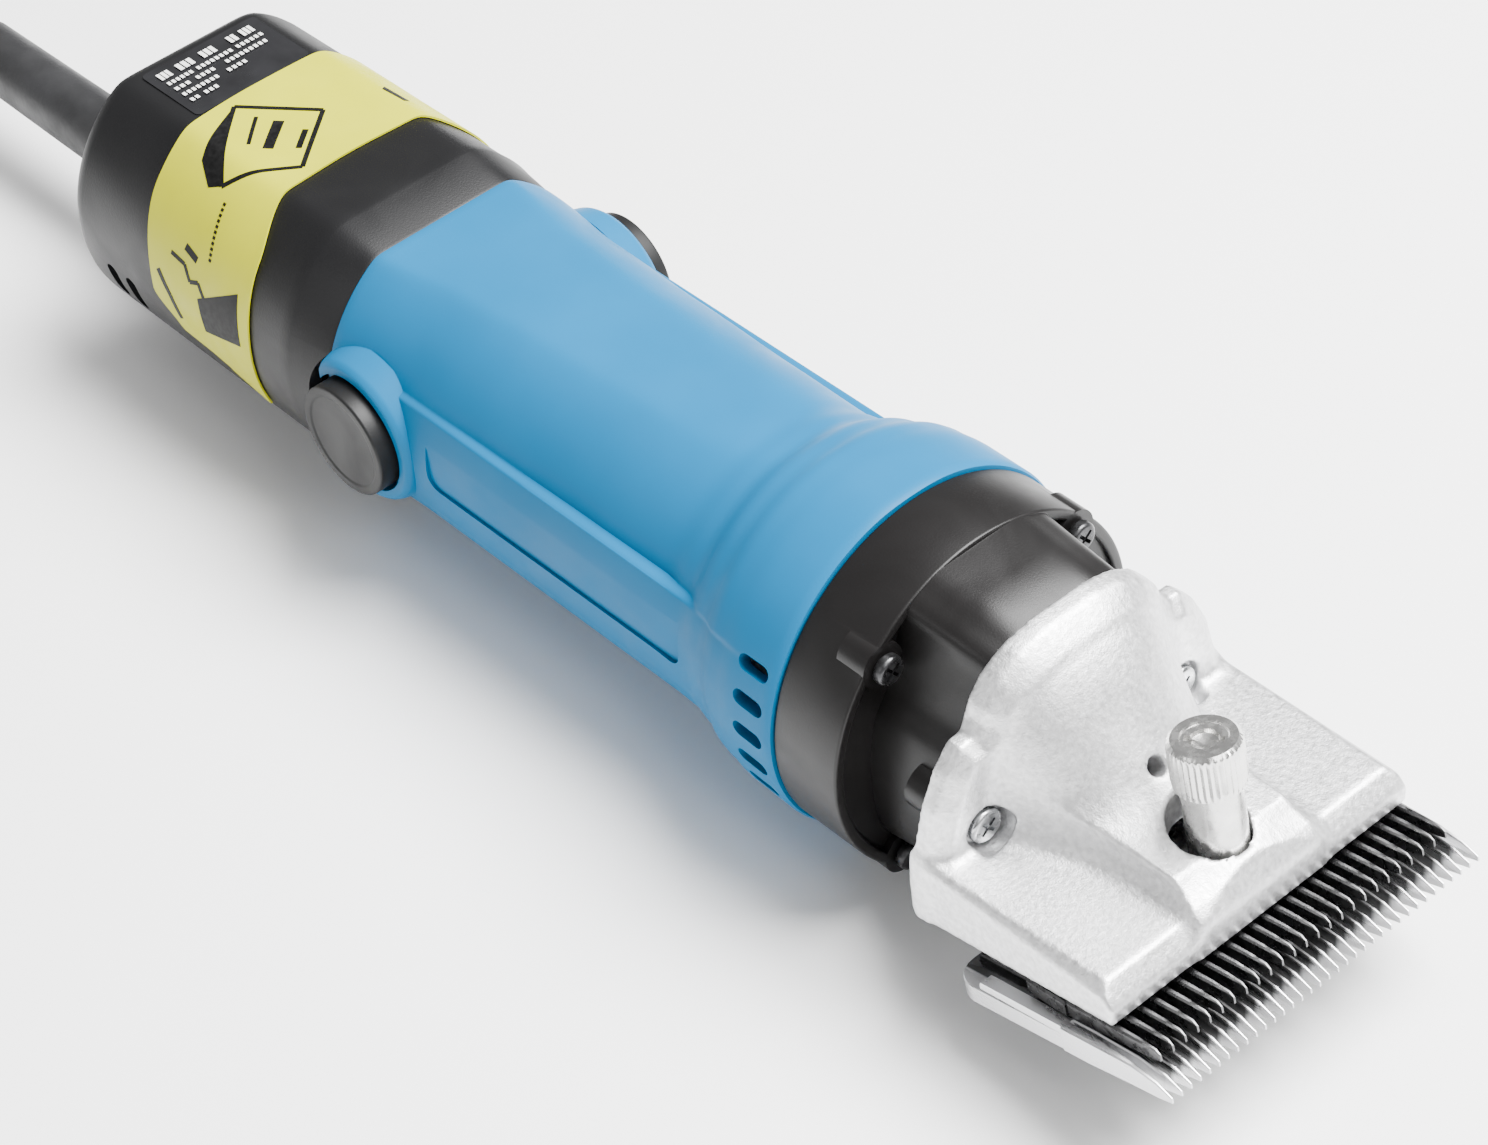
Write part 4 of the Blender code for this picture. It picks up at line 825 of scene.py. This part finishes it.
def make_rating_plate():
    low, high = (-11.0, -13.0, 28.3), (8.2, 15.0, 28.62)
    turn = TOOL @ Matrix.Translation((0, 0, low[2])) @ Matrix.Rotation(math.pi / 2, 4, "X")
    plate = rounded_box("rating_plate_film", (low[0], -0.32, -high[1]), (high[0], 0.0, -low[1]), 1.2, place=turn)
    keep(plate, "housing", "label_black", "label_black", "rating_plate")

    def surface(x, y, height):
        return (x, y, high[2] + height)

    quads = []
    for row, (x, parts) in enumerate(PLATE_ROWS):
        depth = 2.4 if row == 0 else 1.1
        for start, end in parts:
            count = max(2, round((end - start) / 1.15))
            for k in range(count):
                y = start + (end - start) * k / count
                wide = (end - start) / count * (0.62 if row else 0.72)
                quads += patch_quads([(x, y), (x, y + wide), (x + depth, y + wide), (x + depth, y)], 1)
    make_print("plate_marks", quads, surface, "print_white", "label_black", 0.03)


# ---------------------------------------------------------------- gearbox nose

RING_RADIUS = 35.2
NOSE_HALF = [(7.0, 34.2), (13.0, 32.4), (16.4, 30.2), (17.4, 26.0), (18.6, 21.5), (20.6, 14.8), (23.8, 9.5)]
NOSE_HALF += [(25.4, 2.0), (25.7, -5.0), (24.8, -14.0), (22.3, -19.5), (16.6, -23.0), (11.0, -29.0), (4.0, -31.0)]
SCREW_PLACES = [(22.8, 21.8), (-22.8, 21.8), (20.5, -24.5), (-20.5, -24.5)]


def nose_ring(x, shrink, inset=0.0):
    whole = NOSE_HALF + [(-y, z) for y, z in reversed(NOSE_HALF)]
    points = []
    for i in range(len(whole)):
        a, b, c, d = (Vector(whole[(i + k) % len(whole)]) for k in (-1, 0, 1, 2))
        for s in range(6):
            t = s / 6
            spot = between(a, b, c, d, t)
            spot *= shrink * (spot.length - inset) / spot.length
            points.append((x, spot.x, spot.y))
    return points


def make_gearbox():
    outer = [(196.9, 27.0), (196.9, RING_RADIUS), (212.5, RING_RADIUS), (212.5, 33.0)]
    outer += [(211.0, 33.0), (211.0, 0.5)]
    ring = turned("gearbox_shell", rounded(outer, 0.6), 160)
    sections = ((208.0, 1.0), (212.0, 1.0), (221, 0.972), (230.2, 0.945), (230.9, 0.93))
    nose = loft("nose", [nose_ring(x, s) for x, s in sections])
    combine(ring, [nose], "UNION")
    bosses = [loft("boss", [circle(x, 4.5, 48, place) for x in (206.0, 212.5)]) for place in SCREW_PLACES]
    combine(ring, bosses, "UNION")
    lugs = [loft("lug", [circle(x, 4.6, 40, (y, 1.5)) for x in (222.0, 230.9)]) for y in (23.5, -23.5)]
    combine(ring, lugs, "UNION")
    hollow = loft("hollow", [nose_ring(x, s, 3.4) for x, s in ((209.6, 1.0), (233.0, 0.94))])
    behind = turned("behind", [(190.0, 26.0), (203.0, 26.0)], 64)
    combine(ring, [hollow, behind])
    combine(ring, [loft("bore", [circle(x, 1.9, 24, place) for x in (195.0, 214.0)]) for place in SCREW_PLACES])
    keep(ring, "housing", "nose_black", "black_plastic", "gearbox_housing")


# ---------------------------------------------------------------- screws


def make_screw(name, node, place, head_x, sign, radius, shank_end, finish):
    """A cross-recessed screw along X. The head's outer face is at head_x and looks along sign."""
    deep, shank, length = 2.0, 1.55, abs(head_x - shank_end)
    profile = [(0, 0.15), (0, radius - 0.5), (-0.5, radius), (-deep, radius), (-deep, shank)]
    profile += [(-length, shank), (-length, 0.15)]
    turn = Matrix.Rotation(0 if sign > 0 else math.pi, 4, "Z")
    at = place @ Matrix.Translation((head_x, 0, 0)) @ turn
    screw = turned(name, rounded(profile, 0.3), 40, place=at)
    cross = []
    for quarter in (0, 1):
        blade = Matrix.Rotation(math.radians(40 + 90 * quarter), 4, "X")
        cross.append(rounded_box("cross", (-1.3, -0.34, -1.9), (1.0, 0.34, 1.9), 0.3, place=at @ blade))
    for cutter in cross:
        combine(screw, [cutter])
    keep(screw, "housing", finish, "steel", node)


def make_screws():
    for i, (y, z) in enumerate(SCREW_PLACES):
        place = TOOL @ Matrix.Translation((0, y, z))
        make_screw(f"flange_screw_{i + 1}_fine", f"flange_screw_{i + 1}", place, 215.0, 1, 2.9, 191.0, "dark_steel")
    for side, sign in (("left", 1), ("right", -1)):
        place = TOOL @ Matrix.Translation((0, sign * 23.5, 1.5))
        make_screw(f"head_screw_{side}_fine", f"head_screw_{side}", place, 237.5, 1, 3.4, 224.5, "steel")
        place = TOOL @ Matrix.Translation((0, sign * 20, 8))
        make_screw(f"rear_cap_screw_{side}_fine", f"rear_cap_screw_{side}", place, -15.8, -1, 3.0, 20.0, "dark_steel")
        place = upright(BLADE, 6.8, sign * 23.25)
        make_screw(f"comb_screw_{side}_fine", f"comb_screw_{side}", place, 0.3, -1, 3.2, 9.8, "steel")


# ---------------------------------------------------------------- cast head


def surface_net(field, low, step):
    """Vertices and quads of the surface where a sampled field changes sign. It is negative inside."""
    inside = field < 0
    cells = tuple(n - 1 for n in field.shape)
    total = np.zeros((*cells, 3))
    count = np.zeros(cells)
    crossings = []
    for axis in range(3):
        near = [slice(None)] * 3
        far = [slice(None)] * 3
        near[axis], far[axis] = slice(0, -1), slice(1, None)
        a, b = field[tuple(near)], field[tuple(far)]
        edges = np.argwhere(inside[tuple(near)] != inside[tuple(far)])
        va, vb = a[tuple(edges.T)], b[tuple(edges.T)]
        spots = edges.astype(float)
        spots[:, axis] += va / (va - vb)
        others = [k for k in range(3) if k != axis]
        around = []
        for du, dv in ((0, 0), (-1, 0), (-1, -1), (0, -1)):
            cell = edges.copy()
            cell[:, others[0]] += du
            cell[:, others[1]] += dv
            around.append(cell)
        valid = np.all([((c >= 0) & (c < cells)).all(axis=1) for c in around], axis=0)
        for cell in around:
            np.add.at(total, tuple(cell[valid].T), spots[valid])
            np.add.at(count, tuple(cell[valid].T), 1)
        crossings.append((valid, around, va > 0, axis))
    used = count > 0
    index = np.full(cells, -1)
    index[used] = np.arange(used.sum())
    vertices = total[used] / count[used][:, None] * step + low
    faces = []
    for valid, around, entering, axis in crossings:
        quad = np.stack([index[tuple(cell[valid].T)] for cell in around], axis=1)
        flip = entering[valid] if axis == 1 else ~entering[valid]
        quad[flip] = quad[flip][:, ::-1]
        faces.append(quad)
    return vertices, np.concatenate(faces)


def smooth_union(a, b, k):
    h = np.clip(0.5 + 0.5 * (b - a) / k, 0, 1)
    return b + (a - b) * h - k * h * (1 - h)


def outline_distance(outline, y, z):
    """Signed distance from a closed outline, negative inside."""
    best = np.full(np.broadcast(y, z).shape, 1e9)
    odd = np.zeros(best.shape, bool)
    for (y0, z0), (y1, z1) in zip(outline, outline[1:] + outline[:1]):
        ey, ez = y1 - y0, z1 - z0
        t = np.clip(((y - y0) * ey + (z - z0) * ez) / (ey * ey + ez * ez), 0, 1)
        best = np.minimum(best, np.hypot(y - y0 - t * ey, z - z0 - t * ez))
        if z0 != z1:
            odd ^= ((z0 > z) != (z1 > z)) & (y < (y1 - y0) * (z - z0) / (z1 - z0) + y0)
    return np.where(odd, -best, best)


def half_space(across, along, spot, normal):
    length = math.hypot(*normal)
    return ((across - spot[0]) * normal[0] + (along - spot[1]) * normal[1]) / length


HEAD_HALF = [(6.0, 32.3), (12.0, 30.9), (17.0, 28.4), (20.6, 24.8), (21.4, 21.8), (23.4, 19.9), (26.2, 19.8)]
HEAD_HALF += [(29.6, 16.0), (33.0, 9.0), (34.8, 1.5), (35.2, -7.0), (34.8, -13.0), (33.0, -16.0), (26.0, -20.0)]
HEAD_HALF += [(15.0, -25.5), (5.0, -28.0)]
HOOD_ROWS = [  # x, half width, height of the top, squareness
    (228.0, 23.2, 32.2, 3.4),
    (234.0, 22.6, 31.7, 3.2),
    (238.0, 21.4, 29.9, 2.9),
    (242.0, 19.8, 26.4, 2.6),
    (246.0, 18.0, 21.4, 2.4),
    (249.5, 16.4, 16.4, 2.2),
    (253.0, 14.8, 12.0, 2.1),
    (256.5, 13.2, 8.8, 2.0),
    (260.0, 11.6, 6.6, 2.0),
    (266.0, 10.0, 4.4, 2.0),
    (284.0, 8.0, 2.0, 2.0),
]


def largest(fields):
    """The intersection of solids given as fields of distances."""
    return functools.reduce(np.maximum, fields)


def head_field(x, y, z):
    """The casting as a field of distances: plate, hood, apron and deck, with cast fillets between them."""
    plate_edge = outline_distance(HEAD_HALF + [(-a, b) for a, b in reversed(HEAD_HALF)], y, z)
    plate = largest([plate_edge + 0.2, 231.2 - x, x - 237.0, (x - 234.4 + plate_edge + 0.6) * 0.7071])
    stations, *values = np.array(HOOD_ROWS).T
    near = x.ravel()[:, None] + np.linspace(-3.2, 3.2, 17)
    wide, top, square = (np.interp(near, stations, v).mean(axis=1).reshape(x.shape) for v in values)
    base = -3.0
    reach = (np.abs(y) / wide) ** square + (np.maximum(z - base, 0) / (top - base)) ** square
    reach = reach ** (1 / square)
    hood = largest([(reach - 1) * np.minimum(wide, top - base), 231.2 - x, x - 274.0, -10.0 - z])
    apron = largest(
        [
            np.abs(y) - 13.6,
            z - 5.3,
            half_space(x, z, (270.2, 5.3), (6.4, 8.0)),
            236.0 - x,
            -6.0 - z,
            x - 278.2,
        ]
    )
    deck = largest(
        [
            half_space(x, z, (240.0, -0.9), (-0.029, 1.0)),
            half_space(x, z, (274.4, 0.1), (4.0, 3.8)),
            x - 278.1,
            half_space(x, z, (236.7, -14.6), (0.178, -1.0)),
            half_space(np.abs(y), z, (33.7, 0.0), (3.0, 3.2)),
            np.abs(y) - 36.0,
            231.4 - x,
        ]
    )
    body = smooth_union(smooth_union(hood, apron, 6.0), deck, 4.6)
    limits = largest([half_space(x, z, (236.7, -14.6), (0.178, -1.0)), x - 278.1, np.abs(y) - 36.0])
    body = -smooth_union(-body, -limits, 1.2)
    body = smooth_union(body, plate, 3.0)
    cavity = outline_distance(
        [(229, -17), (229, 19), (236, 18), (245, 7), (254, 1.8), (272.5, 1.2), (274.5, -12), (262, -24), (229, -24)],
        x,
        z,
    )
    hollow_side = np.abs(y) - 14.8 + 0.6 * np.maximum(z + 4.0, 0)
    body = np.maximum(body, -np.maximum(cavity, hollow_side))
    for sign in (1, -1):
        seat = np.hypot(y - sign * 23.5, z - 1.5)
        body = np.maximum(body, -largest([seat - 4.3, 235.0 - x, x - 240.5]))
        body = np.maximum(body, -largest([seat - 1.9, x - 240.5]))
    across = (x - 267.3) * math.cos(TENSION_TILT) + (z - 5.3) * math.sin(TENSION_TILT)
    along = -(x - 267.3) * math.sin(TENSION_TILT) + (z - 5.3) * math.cos(TENSION_TILT)
    body = np.maximum(body, -np.maximum(np.hypot(across + 1.3, y + 0.6) - 7.0, -5.0 - along))
    body = np.maximum(body, -np.maximum(np.hypot(across, y) - 5.75, -9.0 - along))
    turn = math.radians(40)
    oil_across = (x - 253.6) * math.sin(turn) - (z - 10.4) * math.cos(turn)
    oil_along = (x - 253.6) * math.cos(turn) + (z - 10.4) * math.sin(turn)
    return np.maximum(body, -np.maximum(np.hypot(oil_across, y + 0.4) - 1.8, -16.0 - oil_along))


def make_head():
    step = 0.55
    low = np.array([229.6, -38.0, -31.0])
    sizes = [math.ceil(v / step) for v in (50.0, 76.0, 66.0)]
    axes = [low[k] + step * np.arange(sizes[k]) for k in range(3)]
    x, y, z = np.meshgrid(*axes, indexing="ij", sparse=True)
    vertices, faces = surface_net(head_field(x, y, z), low, step)
    mesh = bpy.data.meshes.new("head_casting_fine")
    mesh.from_pydata(vertices.tolist(), [], faces.tolist())
    bm = bmesh.new()
    bm.from_mesh(mesh)
    for _ in range(2):
        bmesh.ops.smooth_vert(bm, verts=bm.verts, factor=0.5, use_axis_x=True, use_axis_y=True, use_axis_z=True)
    head = finish_mesh("head_casting_fine", bm)
    for edge in head.data.edges:
        edge.use_edge_sharp = False
    pads = []
    for sign in (1, -1):
        place = BLADE @ Matrix.Translation((0, sign * 23.25, 0))
        pads.append(rounded_box("pad", (1.0, -6.75, 5.2), (12.5, 6.75, 12), 0.8, place=place))
    for pad in pads:
        pad.name = "comb_pad"
        keep(pad, "housing", "cast_alloy", "cast_alloy")
    keep(head, "housing", "cast_alloy", "cast_alloy", "head_casting")


# ---------------------------------------------------------------- comb, cutter and fork


def tooth(bm, middle, stations):
    """One tooth with bevelled upper edges. stations are (x, half width, bottom, top, bevel)."""
    rows = []
    for x, half, bottom, top, bevel in stations:
        bevel = min(bevel, half * 0.6, (top - bottom) * 0.6)
        ring = [(-half, bottom), (half, bottom), (half, top - bevel), (half - bevel, top), (bevel - half, top)]
        ring.append((-half, top - bevel))
        rows.append([bm.verts.new((x, middle + a, b)) for a, b in ring])
    skin(bm, rows)


def slab(bm, outline, low, high, bevel):
    """A plate with a bevelled upper edge. outline is convex and runs round the plate."""
    middle = sum((Vector(p) for p in outline), Vector((0, 0))) / len(outline)
    rows = []
    for inset, z in ((0, low), (0, high - bevel), (bevel, high)):
        row = []
        for p in outline:
            spot = Vector(p)
            pull = (middle - spot).normalized() * inset
            row.append(bm.verts.new((*(spot + pull), z)))
        rows.append(row)
    skin(bm, rows)


def corner_arc(x, y, radius, start, steps=6):
    turns = [math.radians(start + 90 * i / steps) for i in range(steps + 1)]
    return [(x + radius * math.cos(a), y + radius * math.sin(a)) for a in turns]


def make_comb():
    width, length, thick, teeth = 76.2, 51.0, 4.9, 35
    pitch = width / teeth
    half = width / 2
    bm = bmesh.new()
    roots, side = 27.4, half - 0.3
    outline = [(roots, -half + 0.3), (roots, side), *corner_arc(5, half - 5, 5, 90), *corner_arc(5, 5 - half, 5, 180)]
    slab(bm, outline, 0.0, 3.4, 0.15)
    slab(bm, [(roots, -32.6), (roots, 32.6), (1.5, 32.6), (1.5, -32.6)], 3.0, thick, 0.3)
    for sign in (1, -1):
        rail = [(roots, sign * 35.2), (roots, sign * side), (7.0, sign * side), (7.0, sign * 35.2)]
        slab(bm, rail, 3.0, thick, 0.35)
    for k in range(teeth):
        middle = -half + pitch * (k + 0.5)
        outer = k in (0, teeth - 1)
        root = pitch * (0.47 if outer else 0.31)
        rows = [(26.6, root, 0.0, thick, 0.25), (32.0, root * 0.95, 0.0, thick, 0.25)]
        rows += [(42.0, pitch * 0.22, 0.0, 4.3, 0.25), (47.5, pitch * 0.15, 0.0, 3.0, 0.2)]
        rows += [(length - 0.3, 0.16, 0.2, 1.2, 0.1)]
        tooth(bm, middle, rows)
    comb = finish_mesh("comb_fine", bm, BLADE)
    keep(comb, "housing", "blade_steel", "blade_steel", "comb_blade")


def make_cutter():
    width, teeth = 71.6, 25
    pitch = width / teeth
    half = width / 2
    bm = bmesh.new()
    outline = [(25.8, -half + 0.3), (25.8, half - 0.3), (16.0, half - 1.0)]
    outline += [(14.0, half - 6), (14.0, 6 - half), (16.0, 1.0 - half)]
    slab(bm, outline, 5.1, 7.9, 0.4)
    for k in range(teeth):
        middle = -half + pitch * (k + 0.5)
        rows = [(25.0, pitch * 0.27, 5.1, 7.9, 0.3), (34.0, pitch * 0.25, 5.1, 7.9, 0.35)]
        rows += [(42.0, pitch * 0.19, 5.1, 7.6, 0.35), (45.6, pitch * 0.13, 5.1, 7.2, 0.3)]
        rows += [(46.6, pitch * 0.07, 5.15, 6.4, 0.2)]
        tooth(bm, middle, rows)
    keep(finish_mesh("cutter_fine", bm, BLADE), "fork", "cutter_steel", "blade_steel", "cutter_blade")


# ---------------------------------------------------------------- tension knob


def make_knob():
    bm = bmesh.new()
    count = 36 * 8
    profile = [(-4.0, 4.3, 0), (-4.0, 5.3, 0), (9.7, 5.3, 0), (10.0, 5.6, 0), (10.4, 6.3, 0), (10.9, 6.35, 0.5)]
    profile += [(11.6, 6.5, 1), (17.6, 6.5, 1), (18.4, 6.45, 0.5), (18.8, 6.3, 0), (19.4, 5.7, 0), (19.4, 4.2, 0)]
    profile += [(19.0, 4.0, 0), (18.9, 2.6, 0), (18.2, 2.4, 0), (17.6, 0.5, 0)]
    rows = []
    for height, radius, knurl in profile:
        row = []
        for i in range(count):
            a = 2 * math.pi * i / count
            ridge = abs(((i / 8) % 1.0) * 2 - 1)
            r = radius - 0.34 * knurl * (1 - ridge)
            row.append(bm.verts.new((r * math.cos(a), r * math.sin(a), height)))
        rows.append(row)
    skin(bm, rows)
    knob = finish_mesh("tension_knob_fine", bm, TENSION)
    slot = rounded_box("slot", (-3.4, -0.7, 17.9), (3.4, 0.7, 21.0), 0.3, place=TENSION @ Matrix.Rotation(0.6, 4, "Z"))
    combine(knob, [slot])
    keep(knob, "knob", "nickel", "nickel", "tension_knob")


def make_spring():
    """The round-wire spring under the knob, with a mesh of its own."""
    wire, radius, length, turns, steps = 0.4, 3.0, 11.8, 5, 32
    rings = []
    for i in range(turns * steps + 1):
        a = 2 * math.pi * i / steps
        across = Vector((math.cos(a), math.sin(a), 0.0))
        centre = across * radius + Vector((0, 0, wire + (length - 2 * wire) * i / (turns * steps)))
        ring = []
        for k in range(10):
            b = 2 * math.pi * k / 10
            ring.append(tuple(centre + wire * (across * math.cos(b) + Vector((0, 0, math.sin(b))))))
        rings.append(ring)
    spring = loft("tension_spring_fine", rings, place=TENSION @ Matrix.Translation((0, 0, -6.1)))
    keep(spring, "housing", "steel", "steel", "tension_spring")
    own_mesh(spring)


# ---------------------------------------------------------------- guard, plug and switch


def make_guard():
    profile = [(-10.2, 4.0), (-10.2, 9.2), (-12.7, 9.2), (-12.7, 6.3), (-16.3, 6.3), (-16.3, 8.0), (-19.0, 7.9)]
    profile += [(-20.0, 7.45), (-60.0, 7.3), (GUARD_END + 1.5, 6.9), (GUARD_END, 6.0), (GUARD_END, 3.8)]
    place = TOOL @ Matrix.Translation((0, 0, CORD_HEIGHT))
    guard = turned("cord_guard_fine", rounded(profile, 0.5), 72, closed=True, place=place)
    keep(guard, "housing", "rubber", "rubber", "cord_guard")


def make_plug():
    top = FLOOR + 4 * CORD_DIAMETER
    half = PLUG_THICKNESS / 2
    place = TOOL @ Matrix.Translation((COIL_CENTRE[0] + PLUG_REAR, COIL_CENTRE[1] + 30, top + half + GAP))
    rows = [(0, 4.2, 4.2), (0.6, 4.6, 4.6)]
    for k in range(6):
        x = 2.2 + 2.3 * k
        rows += [(x, 4.7 + 0.15 * k, 4.7 + 0.15 * k), (x + 0.3, 4.2 + 0.1 * k, 4.2 + 0.1 * k)]
        rows += [(x + 1.0, 4.2 + 0.1 * k, 4.2 + 0.1 * k), (x + 1.3, 4.8 + 0.15 * k, 4.8 + 0.15 * k)]
    rows += [(16.5, 6.0, 5.6), (18.5, 8.4, 6.0), (21, 11.4, 6.5), (24.5, 14.4, 6.9), (28, 16.2, half), (32, 17, half)]
    rows += [(46, 17, half), (48.5, 16.2, half - 0.1), (50.4, 14.6, half - 0.4), (51, 13.2, half - 1.2)]
    rings = []
    for x, wide, thick in rows:
        ring = []
        for i in range(64):
            a = 2 * math.pi * i / 64
            ring.append((x, wide * math.cos(a), thick * math.copysign(abs(math.sin(a)) ** 0.75, math.sin(a))))
        rings.append(ring)
    plug = loft("mains_plug_fine", rings, place=place)
    keep(plug, "housing", "rubber", "rubber", "mains_plug")
    for side, y in (("left", 9.5), ("right", -9.5)):
        outline = rounded([(50.0, 0.2), (50.0, 2.0), (69.5, 2.0), (69.5, 0.2)], 0.8)
        pin = turned(f"plug_pin_{side}", outline, 40, place=place @ Matrix.Translation((0, y, 0)))
        keep(pin, "housing", "nickel", "nickel")


def make_switch():
    place = TOOL @ Matrix.Translation((27, 0, -29.6))
    base = rounded_box("switch_slider_fine", (-7.5, -6.5, -1.2), (7.5, 6.5, 1.2), 0.6, place=place)
    ribs = []
    for k in range(-2, 3):
        rib_place = place @ Matrix.Translation((2.4 * k, 0, -1.2)) @ Matrix.Rotation(math.pi / 2, 4, "Z")
        ribs.append(rounded_bar("rib_gap", 10.0, 1.0, 1.0, rib_place))
    combine(base, ribs)
    above = TOOL @ Matrix.Translation((27, 0, 0))
    neck = rounded_box("switch_neck_fine", (-3, -3, -29), (3, 3, -24.9), 0.4, place=above)
    keep(base, "switch", "cap_black", "cap_black", "switch_slider")
    keep(neck, "switch", "cap_black", "cap_black")


def finish_inner_pieces():
    """The pieces inside keep their CAD shape and get their own materials."""
    placed = {node: finish for finish, nodes in NODE_MATERIALS.items() for node in nodes}
    for name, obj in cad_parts.items():
        obj.data.materials.clear()
        obj.data.materials.append(MATERIALS[placed.get(name, "steel")])


make_camera()
make_studio()
finish_inner_pieces()
make_guard()
make_plug()
make_cord()
make_handle()
make_brush_caps()
make_rear_cap()
make_label()
make_label_print()
make_rating_plate()
make_gearbox()
make_screws()
make_head()
make_comb()
make_cutter()
make_knob()
make_spring()
make_switch()
